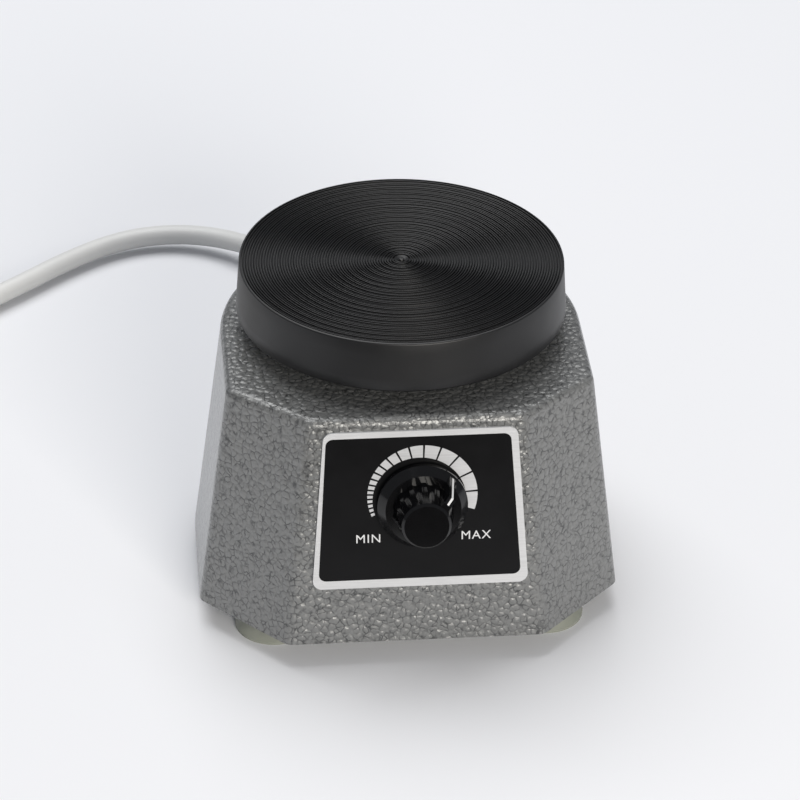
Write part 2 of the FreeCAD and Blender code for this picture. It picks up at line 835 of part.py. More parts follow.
def make_armature():
    """Iron bar over the magnet's legs, hung from the spring by two sunk screws."""
    bar = box("armature_bar", (s.core_width, s.core_stack, s.armature_height),
              (-s.core_width / 2, -s.core_stack / 2, armature_low))
    sunk = s.screw_head + s.plate_gap
    tools = []
    screws = []
    for i, (x, y) in enumerate(armature_points):
        tools.append(cylinder(f"armature_hole_{i}", s.screw_radius + s.hole_gap, s.armature_height * 2,
                              (x, y, armature_low)))
        tools.append(cylinder(f"armature_sink_{i}", s.screw_head_radius + s.hole_gap, sunk,
                              (x, y, armature_low)))
        length = s.armature_height - sunk + s.spring_thickness + s.stem_foot
        screws.append(screw(f"armature_screw_{i}", s.screw_radius, length, s.screw_head_radius,
                            s.screw_head, (x, y, armature_low + sunk), False))
    keep("armature", cut("armature_cut", bar, tools))
    keep("armature_screws", group("armature_screw_group", screws))


def make_stem():
    """Turned stem with a round foot on the spring; it carries the table plate."""
    body = new_body("stem_body")
    revolve(body, "stem_turn", [
        (0.0, spring_top), (s.stem_foot_radius, spring_top),
        (s.stem_foot_radius, spring_top + s.stem_foot),
        (s.stem_radius, spring_top + s.stem_foot), (s.stem_radius, table_low), (0.0, table_low),
    ])
    holes = [cylinder(f"stem_hole_{i}", s.screw_radius, s.stem_foot, (x, y, spring_top))
             for i, (x, y) in enumerate(armature_points)]
    thread = cylinder("stem_thread", s.screw_radius, s.screw_grip, (0, 0, table_low - s.screw_grip))
    keep("drive_stem", cut("stem", body, holes + [thread]))


table_radius = mat_radius_top - s.mat_skirt - s.table_gap


def make_table():
    """Cast plate under the mat, thicker at its hub, with a sunk middle screw."""
    body = new_body("table_body")
    web = table_low + s.table_thickness * 0.45
    rim = table_radius - s.table_thickness * 0.6
    revolve(body, "table_turn", [
        (0.0, table_low), (s.table_hub_radius, table_low), (s.table_hub_radius + 2.0, web),
        (rim - 2.0, web), (rim, table_low), (table_radius, table_low), (table_radius, table_top),
        (0.0, table_top),
    ])
    seat = table_top - s.screw_head - s.plate_gap
    hole = cylinder("table_hole", s.screw_radius + s.hole_gap, s.table_thickness * 2, (0, 0, table_low))
    sink = cylinder("table_sink", s.screw_head_radius + s.hole_gap, s.table_thickness, (0, 0, seat))
    keep("table_plate", cut("table", body, [hole, sink]))
    keep("table_screw", screw("table_screw_turned", s.screw_radius,
                              seat - table_low + s.screw_grip,
                              s.screw_head_radius, s.screw_head, (0.0, 0.0, seat)))


def make_mat():
    """Ribbed rubber cap: flat rim, fine rings, a small nub in the middle, and a deep skirt."""
    bore = mat_radius_top - s.mat_skirt
    valley = mat_top - s.ridge_depth
    field = mat_radius_top - s.mat_edge - s.mat_rim
    rings = int((field - s.nub_radius).value / s.ridge_pitch.value)
    top = [(mat_radius_top, mat_top - s.mat_edge), (mat_radius_top - s.mat_edge, mat_top),
           (field, mat_top)]
    for ring in range(rings):
        crest = field - s.ridge_pitch * (ring + 1)
        top.append((crest + s.ridge_pitch / 2, valley))
        top.append((crest, mat_top))
    top += [(s.nub_radius, valley), (s.nub_radius * 0.6, mat_top), (0.0, mat_top)]
    body = new_body("mat_body")
    lip_top = mat_bottom + s.mat_lip_height
    revolve(body, "mat_turn", [
        (0.0, table_top), (bore, table_top), (bore, lip_top), (bore - s.mat_lip, lip_top),
        (bore - s.mat_lip, mat_bottom), (s.mat_radius_bottom - s.mat_edge, mat_bottom),
        (s.mat_radius_bottom, mat_bottom + s.mat_edge),
    ] + top)
    keep("rubber_mat", body)


# Control panel and knob

def make_panel():
    body = new_body("panel_body")
    low = s.panel_rise - s.control_rise
    high = low + s.panel_height
    sketch = new_sketch(body, "panel_outline")
    aside = s.panel_shift - s.control_shift
    draw(sketch, [(aside - s.panel_width_base / 2, low), (aside + s.panel_width_base / 2, low),
                  (aside + s.panel_width_top / 2, high), (aside - s.panel_width_top / 2, high)])
    plate = extrude(body, "panel_pad", sketch, s.panel_thickness)
    round_edges(body, "panel_corners", plate, s.panel_corner, lambda e: e.BoundBox.ZLength > 0.1)
    hole = new_sketch(body, "panel_hole")
    draw_circles(hole, s.bush_radius + s.hole_gap, [(0.0, 0.0)])
    extrude(body, "panel_cut", hole, s.panel_thickness, "Pocket", backwards=True)
    place(body, face_point(s.control_rise, as_size(0.0)), face_turn)
    keep("front_panel", body)


def make_potentiometer():
    """Rotary control behind the front wall, its threaded bush out through the panel."""
    wall_back = -(s.wall * face_cos)
    inside = wall_back - s.pot_depth
    bore = s.shaft_radius + s.shaft_gap
    bottom = wall_back - s.shaft_seat
    body = new_body("potentiometer_body")
    revolve(body, "potentiometer_turn", [
        (0.0, inside), (s.pot_radius, inside), (s.pot_radius, wall_back), (s.bush_radius, wall_back),
        (s.bush_radius, s.bush_reach), (bore, s.bush_reach), (bore, bottom), (0.0, bottom),
    ])
    place(body, face_point(s.control_rise, as_size(0.0)), face_turn)
    keep("potentiometer", body)

    shaft_top = s.knob_standoff + s.knob_height - s.knob_roof * 2
    keep("control_shaft", cylinder("shaft", s.shaft_radius, shaft_top - bottom - s.shaft_gap,
                                   face_point(s.control_rise, bottom + s.shaft_gap), face_turn))

    seat = s.panel_thickness
    ring = cylinder("washer_disc", s.washer_radius, s.washer_thickness,
                    face_point(s.control_rise, seat), face_turn)
    washer_hole = cylinder("washer_hole", s.bush_radius + s.hole_gap, s.washer_thickness * 3,
                           face_point(s.control_rise, seat - s.washer_thickness), face_turn)
    keep("pot_washer", cut("washer", ring, [washer_hole]))
    seat = seat + s.washer_thickness
    hexagon = doc.addObject("Part::Prism", "nut_hexagon")
    hexagon.Polygon = 6
    bind(hexagon, "Circumradius", s.nut_radius)
    bind(hexagon, "Height", s.nut_thickness)
    place(hexagon, face_point(s.control_rise, seat), face_turn)
    nut_hole = cylinder("nut_hole", s.bush_radius + s.shaft_gap, s.nut_thickness * 3,
                        face_point(s.control_rise, seat - s.nut_thickness), face_turn)
    keep("pot_nut", cut("nut", hexagon, [nut_hole]))


def make_knob():
    """Skirted knob with a fluted, tapered grip, a domed cap edge and a pointer fin."""
    low = s.knob_standoff
    skirt = low + s.knob_skirt
    cap = low + s.knob_height
    ceiling = skirt - s.knob_roof
    neck = s.bush_radius + s.knob_roof / 2
    neck_top = s.bush_reach + s.knob_roof / 2
    bore = s.shaft_radius + s.knob_fit
    bore_top = cap - s.knob_roof * 2
    soft = s.knob_roof * 0.6
    body = new_body("knob_body")
    revolve(body, "knob_turn", [
        (0.0, bore_top), (bore, bore_top), (bore, neck_top), (neck, neck_top), (neck, ceiling),
        (s.knob_hollow_radius, ceiling), (s.knob_hollow_radius, low), (s.knob_radius, low),
        (s.knob_radius, low + s.knob_edge), (s.knob_bevel_radius, skirt), (s.grip_radius_base, skirt),
        (s.grip_radius_cap, cap - soft), (s.grip_radius_cap - soft, cap), (0.0, cap),
    ])
    circles = []
    for end, radius, z, deep in (("low", s.grip_radius_base, skirt, s.flute_depth),
                                 ("high", s.grip_radius_cap, cap, s.flute_fade)):
        sketch = new_sketch(body, f"flute_{end}", lift=z)
        draw_circles(sketch, s.flute_radius, [(radius + s.flute_radius - deep, 0.0)])
        circles.append(sketch)
    flute = loft(body, "flute", circles, "SubtractiveLoft")
    doc.recompute()
    ring = body.newObject("PartDesign::PolarPattern", "flutes")
    ring.Originals = [flute]
    ring.Axis = (circles[0], ["N_Axis"])
    ring.Angle = 360
    bind(ring, "Occurrences", s.flute_count)
    body.Tip = ring
    doc.recompute()
    fin = new_sketch(body, "pointer_outline", "XZ_Plane")
    fin.AttachmentOffset = Placement(Vector(0, 0, 0), Rotation(Vector(0, 1, 0), 90 - s.pointer_turn.value))
    fin.setExpression("AttachmentOffset.Rotation.Angle", f"90 deg - 1 deg * {s.pointer_turn.text}")
    root = skirt - s.knob_roof / 2
    core = s.shaft_radius * 2
    foot = s.knob_radius - s.pointer_foot_inset
    draw(fin, [
        (core, root), (s.knob_bevel_radius, root), (foot, low + s.knob_edge),
        (foot - s.pointer_lean, cap - s.pointer_cut), (s.grip_radius_cap + s.pointer_step, cap - soft),
        (core, cap - soft),
    ])
    extrude(body, "pointer", fin, s.pointer_width, both_ways=True)
    place(body, face_point(s.control_rise, as_size(0.0)), face_turn)
    keep("control_knob", body)


# Control board

def make_board():
    """Phase-control board on standoffs behind the magnet."""
    half_x = s.board_length / 2
    half_y = s.board_width / 2
    hole_x = half_x - s.board_hole_inset
    hole_y = half_y - s.board_hole_inset
    spots = sides(hole_x, s.board_y - hole_y) + sides(hole_x, s.board_y + hole_y)
    low = plate_top + s.standoff_height
    top = low + s.board_thickness
    sheet = box("board_sheet", (s.board_length, s.board_width, s.board_thickness),
                (-half_x, s.board_y - half_y, low))
    holes = [cylinder(f"board_hole_{i}", s.board_screw_radius + s.hole_gap, s.board_thickness * 3,
                      (x, y, low - s.board_thickness)) for i, (x, y) in enumerate(spots)]
    keep("control_board", cut("board", sheet, holes))
    legs = []
    screws = []
    for i, (x, y) in enumerate(spots):
        leg = cylinder(f"standoff_{i}_bar", s.standoff_radius, s.standoff_height, (x, y, plate_top))
        thread = cylinder(f"standoff_{i}_thread", s.board_screw_radius, s.standoff_height,
                          (x, y, plate_top + s.board_thickness))
        legs.append(cut(f"standoff_{i}", leg, [thread]))
        screws.append(screw(f"board_screw_{i}", s.board_screw_radius,
                            s.standoff_height, s.board_screw_head_radius,
                            s.board_screw_head, (x, y, top)))
    keep("board_standoffs", group("standoff_group", legs))
    keep("board_screws", group("board_screw_group", screws))

    left = -s.triac_width - s.screw_radius
    lift = top + s.triac_lead
    tab = box("triac_tab", (s.triac_width, s.triac_tab, s.triac_tab_height),
              (left, s.board_y + s.triac_depth / 2, lift))
    case = box("triac_case", (s.triac_width, s.triac_depth, s.triac_height),
               (left, s.board_y - s.triac_depth / 2, lift))
    first = left + s.triac_width / 2 - s.triac_lead_pitch
    pins = [box(f"triac_pin_{i}", (s.triac_lead / 3, s.triac_lead / 4, s.triac_lead),
                (first + s.triac_lead_pitch * i - s.triac_lead / 6, s.board_y, top)) for i in range(3)]
    keep("triac", fuse("triac_fused", [tab, case] + pins))
    right = hole_x - s.board_screw_head_radius - s.hole_gap
    keep("film_capacitor", box("capacitor_case", (s.capacitor_length, s.capacitor_width, s.capacitor_height),
                               (right - s.capacitor_length, s.board_y - s.capacitor_width, top)))
    block = box("terminal_case", (s.terminal_length, s.terminal_width, s.terminal_height),
                (0.0, s.board_y + s.hole_gap, top))
    wells = [cylinder(f"terminal_well_{i}", s.terminal_well, s.terminal_height / 2,
                      (s.terminal_length * share, s.board_y + s.terminal_width / 2, top + s.terminal_height * 0.7))
             for i, share in enumerate((0.25, 0.75))]
    keep("terminal_block", cut("terminal", block, wells))


# Mains lead

def make_gland():
    """Moulded strain relief snapped into the rear wall, tapering along the lead."""
    curve = s.gland_collar_radius * s.gland_collar_radius / (rear_radius - s.wall)
    back = -(s.wall * rear_cos) - curve / 2 - s.hole_gap
    body = new_body("gland_body")
    flange = s.gland_collar
    tip = flange + s.gland_length
    waist = (s.gland_neck_radius + s.gland_tip_radius) / 2
    revolve(body, "gland_turn", [
        (0.0, back - s.gland_collar), (s.gland_neck_radius, back - s.gland_collar),
        (s.gland_collar_radius, back), (s.gland_neck_radius, back),
        (s.gland_neck_radius, s.plate_gap), (s.gland_collar_radius, s.plate_gap),
        (s.gland_collar_radius, flange), (s.gland_neck_radius + 0.6, flange),
        (waist + 0.3, flange + s.gland_length * 0.5), (s.gland_tip_radius, tip), (0.0, tip),
    ])
    place(body, rear_point(as_size(0.0)), rear_turn)
    keep("cord_gland", body)


def arc_from(start, heading, end):
    """Circular edge that leaves start along heading and reaches end."""
    chord = end - start
    along = unit(chord)
    aside = heading - along * heading.dot(along)
    if aside.Length < 1e-9:
        return Part.makeLine(start, end)
    lean = math.atan2(aside.Length, heading.dot(along))
    rise = chord.Length / 2 * math.tan(lean / 2)
    middle = (start + end) * 0.5 + unit(aside) * rise
    return Part.Arc(start, middle, end).toShape()


def biarc(p0, t0, p1, t1):
    """Two tangent arcs between two points with given headings."""
    v = p1 - p0
    t = t0 + t1
    a = 2 * (1 - t0.dot(t1))
    b = 2 * v.dot(t)
    c = -v.dot(v)
    if abs(a) < 1e-12:
        reach = -c / b
    else:
        reach = (-b + math.sqrt(b * b - 4 * a * c)) / (2 * a)
    joint = (p0 + p1 + (t0 - t1) * reach) * 0.5
    heading = unit(joint - p0 - t0 * reach)
    return [arc_from(p0, t0, joint), arc_from(joint, heading, p1)]


def tube(edges, heading, diameter, name):
    """Round tube along tangent edges, its volume compared with section times length."""
    path = Part.Wire(edges)
    start = edges[0].Vertexes[0].Point
    ring = Part.Wire([Part.makeCircle(diameter / 2, start, heading)])
    shell = Part.BRepOffsetAPI.MakePipeShell(path)
    shell.add(ring)
    shell.build()
    shell.makeSolid()
    solid = Part.Solid(shell.shape())
    if solid.Volume < 0:
        solid.reverse()
    expected = math.pi * diameter ** 2 / 4 * path.Length
    print(f"{name}: length {path.Length:.1f}, volume {solid.Volume:.0f}, section times length {expected:.0f}")
    return solid, path


def rounded_route(points):
    """Straight runs joined by arcs as large as the runs allow."""
    edges = []
    last = points[0]
    radii = []
    for before, corner, after in zip(points, points[1:], points[2:]):
        arrive = unit(corner - before)
        leave = unit(after - corner)
        reach = CORNER_SHARE * min((corner - before).Length, (after - corner).Length)
        turn = arrive.getAngle(leave)
        radius = reach / math.tan(turn / 2)
        radii.append(radius)
        start = corner - arrive * reach
        end = corner + leave * reach
        edges.append(Part.makeLine(last, start))
        edges.append(arc_from(start, arrive, end))
        last = end
    edges.append(Part.makeLine(last, points[-1]))
    print("cord radii:", " ".join(f"{r:.0f}" for r in radii))
    return edges


def put(label, shape):
    """A sub-part whose shape is set directly."""
    thing = doc.addObject("Part::Feature", label + "_form")
    thing.Shape = shape
    return keep(label, thing)


def coil_frame():
    """Start, heading and middle of the put-away coil, from the end of the free lead."""
    end = Vector(*CORD_POINTS[-1])
    heading = unit(end - Vector(*CORD_POINTS[-2]))
    right = Vector(heading.y, -heading.x, 0)
    outer = s.coil_inner_radius.value + s.coil_turn_step.value * s.coil_turns_each_layer.value
    first = end + heading * s.cord_diameter.value
    return end, heading, right, first, first + right * outer, outer


def coil_point(angle, outer, middle, start_turn):
    """Middle of the lead in the coil after a turned angle, counted clockwise from its start."""
    layer = 2 * math.pi * s.coil_turns_each_layer.value
    rate = s.coil_turn_step.value / (2 * math.pi)
    low = CORD_POINTS[-1][2]
    if angle <= layer:
        radius = outer - rate * angle
        z = low
    elif angle <= layer + math.pi:
        part = (angle - layer) / math.pi
        radius = outer - rate * layer - rate * math.pi * part * (1 - part)
        z = low + s.coil_layer_step.value * part * part * (3 - 2 * part)
    else:
        radius = outer - rate * layer + rate * (angle - layer - math.pi)
        z = low + s.coil_layer_step.value
    turned = start_turn - angle
    return Vector(middle.x + radius * math.cos(turned), middle.y + radius * math.sin(turned), z)


def make_cord():
    """The free lead, the coil of what is put away, its tie and its plug."""
    diameter = s.cord_diameter.value
    tip = Vector(*[as_size(v).value for v in rear_point(s.gland_collar + s.gland_length)])
    out = Vector(0, rear_cos.value, rear_sin.value)
    points = [tip, tip + out * CORD_FIRST_RUN] + [Vector(*p) for p in CORD_POINTS]
    solid, _ = tube(rounded_route(points), out, diameter, "mains_cord")
    put("mains_cord", solid)

    end, heading, right, first, middle, outer = coil_frame()
    start_turn = math.atan2(-right.y, -right.x)
    total = 2 * (2 * math.pi * s.coil_turns_each_layer.value) + math.pi
    steps = int(round(total / (math.pi / 2)))
    nodes = []
    small = 1e-4
    for step in range(steps + 1):
        angle = total * step / steps
        here = coil_point(angle, outer, middle, start_turn)
        ahead = coil_point(min(angle + small, total), outer, middle, start_turn)
        behind = coil_point(max(angle - small, 0.0), outer, middle, start_turn)
        nodes.append((here, unit(ahead - behind)))
    nodes[0] = (nodes[0][0], heading)
    edges = [Part.makeLine(end, first)]
    for (p0, t0), (p1, t1) in zip(nodes, nodes[1:]):
        edges += biarc(p0, t0, p1, t1)
    last, leave = nodes[-1]
    tail = last + leave * s.coil_tail.value
    edges.append(Part.makeLine(last, tail))
    solid, path = tube(edges, heading, diameter, "cord_coil")
    put("cord_coil", solid)
    spread = path.discretize(Distance=diameter / 2)
    skip = int(4 * diameter / (diameter / 2))
    gap = min(p.distanceToPoint(q) for i, p in enumerate(spread) for q in spread[i + skip:]) - diameter
    print(f"cord_coil: least gap to itself {gap:.2f}")
    make_tie(middle, outer, start_turn + math.pi)
    make_plug(tail, leave)


def make_tie(middle, outer, turn):
    """Flat strap round the whole bundle of turns."""
    radius = s.cord_diameter.value / 2
    gap = s.tie_gap.value
    strap = s.tie_thickness.value
    inner = s.coil_inner_radius.value - s.coil_turn_step.value / 4
    low = inner - radius - gap
    high = outer + radius + gap
    top = CORD_POINTS[-1][2] + s.coil_layer_step.value + radius + gap
    width = s.tie_width.value
    shell = Part.makeBox(high - low + 2 * strap, width, top + strap, Vector(low - strap, -width / 2, 0))
    space = Part.makeBox(high - low, width * 2, top - strap, Vector(low, -width, strap))
    strap_form = put("cord_tie", shell.cut(space))
    strap_form.Placement = Placement(Vector(middle.x, middle.y, 0), Rotation(Vector(0, 0, 1), math.degrees(turn)))


def make_plug(tail, leave):
    """Moulded three-pin plug at the end of the lead, lying on the bench."""
    up = Vector(0, 0, 1)
    lie = Placement(tail, Rotation(up.cross(leave), up, leave, "ZXY"))
    body = new_body("plug_body")
    sketch = new_sketch(body, "plug_outline", lift=s.plug_relief)
    half = s.plug_width / 2
    tall = s.plug_height / 2
    draw(sketch, [(-half, -tall), (half, -tall), (half, tall), (-half, tall)])
    block = extrude(body, "plug_pad", sketch, s.plug_length)
    edge_top = s.plug_relief.value + s.plug_length.value
    round_edges(body, "plug_edges", block, s.plug_round, lambda e: e.BoundBox.ZMax < edge_top - 1e-3
                or e.BoundBox.ZLength > 1.0)
    doc.recompute()
    relief = new_sketch(body, "plug_relief_profile", "XZ_Plane")
    draw(relief, [(0.0, 0.0), (s.cord_diameter / 2 + 1.4, 0.0), (s.plug_relief_radius, s.plug_relief),
                  (s.plug_relief_radius, s.plug_relief + 1.0), (0.0, s.plug_relief + 1.0)])
    cone = body.newObject("PartDesign::Revolution", "plug_relief_turn")
    cone.Profile = relief
    cone.ReferenceAxis = (relief, ["V_Axis"])
    cone.Angle = 360
    body.Placement = lie
    keep("mains_plug", body)

    face = s.plug_relief + s.plug_length
    pins = []
    for name, at, turned in (("left", (-s.pin_spread, 3.0), s.pin_turn),
                             ("right", (s.pin_spread, 3.0), -s.pin_turn),
                             ("earth", (as_size(0.0), -8.0), as_size(0.0))):
        blade = Part.makeBox(s.pin_thickness.value, s.pin_width.value, s.pin_length.value,
                             Vector(-s.pin_thickness.value / 2, -s.pin_width.value / 2, 0))
        blade.Placement = Placement(Vector(at[0].value, at[1], face.value), Rotation(Vector(0, 0, 1), turned.value))
        pins.append(blade)
    pin_form = put("plug_pins", Part.makeCompound(pins))
    pin_form.Placement = lie


def check_and_write():
    """Stop on any failed object or bad shape, then write one file per sub-part."""
    doc.recompute()
    for thing in doc.Objects:
        if "Invalid" in thing.State or "Error" in thing.State:
            raise RuntimeError(f"{thing.Name} failed: {thing.State}")
    for label, thing in pieces.items():
        if thing.Shape.isNull() or not thing.Shape.isValid() or not thing.Shape.Solids:
            raise RuntimeError(f"{label} has no valid solid")
    os.makedirs("parts", exist_ok=True)
    for label, thing in pieces.items():
        thing.Shape.exportStep(os.path.join("parts", f"{label}.step"))
    print(f"{len(pieces)} sub-parts written")


make_housing()
make_base_plate()
make_feet()
make_magnet()
make_brackets()
make_spring()
make_armature()
make_stem()
make_table()
make_mat()
make_panel()
make_potentiometer()
make_knob()
make_board()
make_gland()
make_cord()
check_and_write()
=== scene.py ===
# %% [markdown]
# # A small plaster vibrator, dressed in Blender
# The object is a bench vibrator for plaster moulds: a cast housing in grey hammertone enamel, a round ribbed
# rubber table on top, one knob on a black panel, clear suction feet and a white mains lead. Its solids come
# from CAD as a fixed frame. This lesson gives each of them its finish and adds what is too fine for CAD.

# %% Load the frame
import math

import bmesh
import bpy
from mathutils import Matrix, Vector


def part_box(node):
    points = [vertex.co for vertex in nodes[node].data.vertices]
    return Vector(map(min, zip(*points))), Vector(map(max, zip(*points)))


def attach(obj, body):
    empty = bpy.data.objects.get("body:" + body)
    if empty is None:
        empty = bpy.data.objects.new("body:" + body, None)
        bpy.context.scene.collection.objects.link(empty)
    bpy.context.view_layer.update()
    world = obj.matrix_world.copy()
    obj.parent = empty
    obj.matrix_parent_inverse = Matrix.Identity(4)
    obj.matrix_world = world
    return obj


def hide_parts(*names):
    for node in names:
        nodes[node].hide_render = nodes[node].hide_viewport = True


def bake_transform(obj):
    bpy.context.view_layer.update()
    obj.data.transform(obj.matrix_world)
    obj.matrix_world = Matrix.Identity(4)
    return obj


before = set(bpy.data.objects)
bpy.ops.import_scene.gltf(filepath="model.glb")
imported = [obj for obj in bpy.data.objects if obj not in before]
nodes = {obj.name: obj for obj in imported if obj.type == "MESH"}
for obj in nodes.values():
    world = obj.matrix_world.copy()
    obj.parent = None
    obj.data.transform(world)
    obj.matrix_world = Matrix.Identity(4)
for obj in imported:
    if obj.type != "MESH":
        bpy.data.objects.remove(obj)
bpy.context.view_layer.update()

MM = 0.001

# %% [markdown]
# ## Small tools
# Colours are easiest to read as the sRGB hex values of a paint chart, but shaders work in linear light, so
# one function converts them. A second one adds a shader node with its settings and links in a single line,
# which keeps each material short enough to read as a recipe.

# %% Colour and node helpers
def paint(code):
    """Linear colour of an sRGB hex value, opaque."""
    channels = [int(code[i:i + 2], 16) / 255 for i in (1, 3, 5)]
    linear = [c / 12.92 if c <= 0.04045 else ((c + 0.055) / 1.055) ** 2.4 for c in channels]
    return (*linear, 1.0)


def add(tree, kind, inputs=None, **settings):
    """A new node; an input that is a socket is linked, any other value is set."""
    made = tree.nodes.new(kind)
    for name, value in settings.items():
        setattr(made, name, value)
    for socket, value in (inputs or {}).items():
        if isinstance(value, bpy.types.NodeSocket):
            tree.links.new(value, made.inputs[socket])
        else:
            made.inputs[socket].default_value = value
    return made


def start_finish(name, **sockets):
    """A material with its Principled shader, and the object coordinates in metres."""
    material = bpy.data.materials.new(name)
    material.use_nodes = True
    tree = material.node_tree
    shader = tree.nodes["Principled BSDF"]
    for socket, value in sockets.items():
        shader.inputs[socket.replace("_", " ")].default_value = value
    place = add(tree, "ShaderNodeTexCoord").outputs["Object"]
    return material, tree, shader, place


print("linear value of mid grey:", round(paint("#808080")[0], 3))

# %% [markdown]
# ## The camera
# The picture was taken from above the front, a little to the left, with a long lens. Fitting the table's
# ellipses and the housing's corners gave a place, three angles and a focal length. The camera is built from
# its own axes rather than from Euler angles, because the axes are what the fit speaks about.

# %% Camera at the photograph's angle
CAMERA_PLACE = Vector((-83.34, -894.57, 634.48)) * MM
CAMERA_YAW = math.radians(5.33)
CAMERA_PITCH = math.radians(32.94)
CAMERA_ROLL = math.radians(0.75)
FOCAL_PIXELS = 3467.7
FRAME_PIXELS = 800.0


def set_down(name, data, at=None):
    """A new object in the scene, at the origin or where a matrix puts it."""
    made = bpy.data.objects.new(name, data)
    if at is not None:
        made.matrix_world = at
    bpy.context.scene.collection.objects.link(made)
    return made


ahead = Vector((math.sin(CAMERA_YAW) * math.cos(CAMERA_PITCH),
                math.cos(CAMERA_YAW) * math.cos(CAMERA_PITCH), -math.sin(CAMERA_PITCH)))
right = Vector((math.cos(CAMERA_YAW), -math.sin(CAMERA_YAW), 0))
above = right.cross(ahead)
rolled_right = right * math.cos(CAMERA_ROLL) + above * math.sin(CAMERA_ROLL)
rolled_up = above * math.cos(CAMERA_ROLL) - right * math.sin(CAMERA_ROLL)
turn = Matrix((rolled_right, rolled_up, -ahead)).transposed().to_4x4()

lens = bpy.data.cameras.new("photo_lens")
lens.sensor_width = 36.0
lens.lens = FOCAL_PIXELS / FRAME_PIXELS * lens.sensor_width
lens.clip_start = 0.05
lens.clip_end = 20.0
bpy.context.scene.camera = set_down("photo_camera", lens, Matrix.Translation(CAMERA_PLACE) @ turn)
print(f"lens {lens.lens:.1f} mm")

# %% [markdown]
# ## The mains lead
# A white round lead leaves the rear wall, drops to the bench and swings out of the picture on the left. What
# the picture doesn't show is wound into a tied coil. A NURBS curve of order 3 with a few listed points
# bends like a real lead; the coil's turns are more points of the same curve, worked out from a spiral.

# %% Lead route and coil
LEAD_DIAMETER = 7.0
GLAND_TIP = (0.0, 85.6, 29.1)
LEAD_ROUTE = [
    GLAND_TIP,
    (0.0, 105.5, 31.6),
    (-3.0, 125.0, 24.5),
    (-12.0, 144.0, 16.0),
    (-28.5, 161.0, 10.0),
    (-44.0, 179.0, 7.0),
    (-62.5, 187.5, 5.5),
    (-82.5, 185.5, 5.0),
    (-101.5, 173.5, 4.8),
    (-124.5, 152.0, 4.8),
    (-150.0, 131.5, 4.8),
]
COIL_INNER = 29.4
COIL_STEP = 7.7
LAYER_TURNS = 2.25
CLIMB_TURNS = 0.5
COIL_POINTS_PER_TURN = 16
COIL_TAIL = 20.0
TAIL_BEND_SHARE = 0.4

coil_start = Vector(LEAD_ROUTE[-1])
coil_heading = (coil_start - Vector(LEAD_ROUTE[-2])).normalized()
coil_right = Vector((coil_heading.y, -coil_heading.x, 0))
coil_outer = COIL_INNER + COIL_STEP * LAYER_TURNS
coil_middle = coil_start + coil_heading * LEAD_DIAMETER + coil_right * coil_outer
coil_bearing = math.atan2(-coil_right.y, -coil_right.x)


def coil_point(turned):
    """Middle of the lead after some turns: in along the bench, up half a turn, and out on top."""
    low = coil_start.z
    if turned <= LAYER_TURNS:
        radius, z = coil_outer - COIL_STEP * turned, low
    elif turned <= LAYER_TURNS + CLIMB_TURNS:
        part = (turned - LAYER_TURNS) / CLIMB_TURNS
        radius = COIL_INNER - COIL_STEP / 2 * part * (1 - part)
        z = low + COIL_STEP * part * part * (3 - 2 * part)
    else:
        radius, z = COIL_INNER + COIL_STEP * (turned - LAYER_TURNS - CLIMB_TURNS), low + COIL_STEP
    angle = coil_bearing - 2 * math.pi * turned
    return Vector((coil_middle.x + radius * math.cos(angle), coil_middle.y + radius * math.sin(angle), z))


coil_turns = 2 * LAYER_TURNS + CLIMB_TURNS
coil_steps = round(coil_turns * COIL_POINTS_PER_TURN)
lead_points = [Vector(p) for p in LEAD_ROUTE]
lead_points += [coil_point(coil_turns * i / coil_steps) for i in range(coil_steps + 1)]
coil_leave = (coil_point(coil_turns) - coil_point(coil_turns - 1e-4)).normalized()
lead_end = lead_points[-1] + coil_leave * COIL_TAIL
lead_points += [lead_end - coil_leave * (COIL_TAIL * TAIL_BEND_SHARE), lead_end]
print("lead points:", len(lead_points))

# %% Lead curve
lead_curve = bpy.data.curves.new("mains_lead", "CURVE")
lead_curve.dimensions = "3D"
# The bevel is a unit circle, which each point's radius brings to the lead's own thickness
lead_curve.bevel_depth = 1.0
lead_curve.bevel_resolution = 5
lead_curve.resolution_u = 6
lead_curve.use_fill_caps = True
lead_line = lead_curve.splines.new("NURBS")
lead_line.points.add(len(lead_points) - 1)
for spot, point in zip(lead_line.points, lead_points):
    spot.co = (*(point * MM), 1.0)
    spot.radius = LEAD_DIAMETER / 2 * MM
lead_line.order_u = 3
lead_line.use_endpoint_u = True
lead = set_down("mains_lead", lead_curve)
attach(lead, "housing")
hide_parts("mains_cord", "cord_coil")
print("lead curve order:", lead_line.order_u)

# %% [markdown]
# ## Studio
# The picture has an almost white sweep, a warm soft light from the front that gives the enamel its glints,
# and a broad light overhead that leaves the deck under the mat dark. A matt floor, a dim pale world and two
# softboxes give that. The floor looks pale to the eye and in gloss, but throws back less light than it shows,
# because the facets of the real housing stay darker than its front. A black card in front, as photographers
# lay one, is what the glossy knob and panel mirror.

# %% Floor and card
FLOOR_HALF = 3.0
CARD_NEAR = -0.2
CARD_FAR = -1.2
CARD_HALF = 0.6
CARD_HEIGHT = 0.0005


def flat_sheet(name, low, high, z, material):
    """A level rectangle that belongs to the studio."""
    mesh = bpy.data.meshes.new(name)
    corners = [(low[0], low[1], z), (high[0], low[1], z), (high[0], high[1], z), (low[0], high[1], z)]
    mesh.from_pydata(corners, [], [(0, 1, 2, 3)])
    mesh.materials.append(material)
    sheet = set_down(name, mesh)
    return sheet


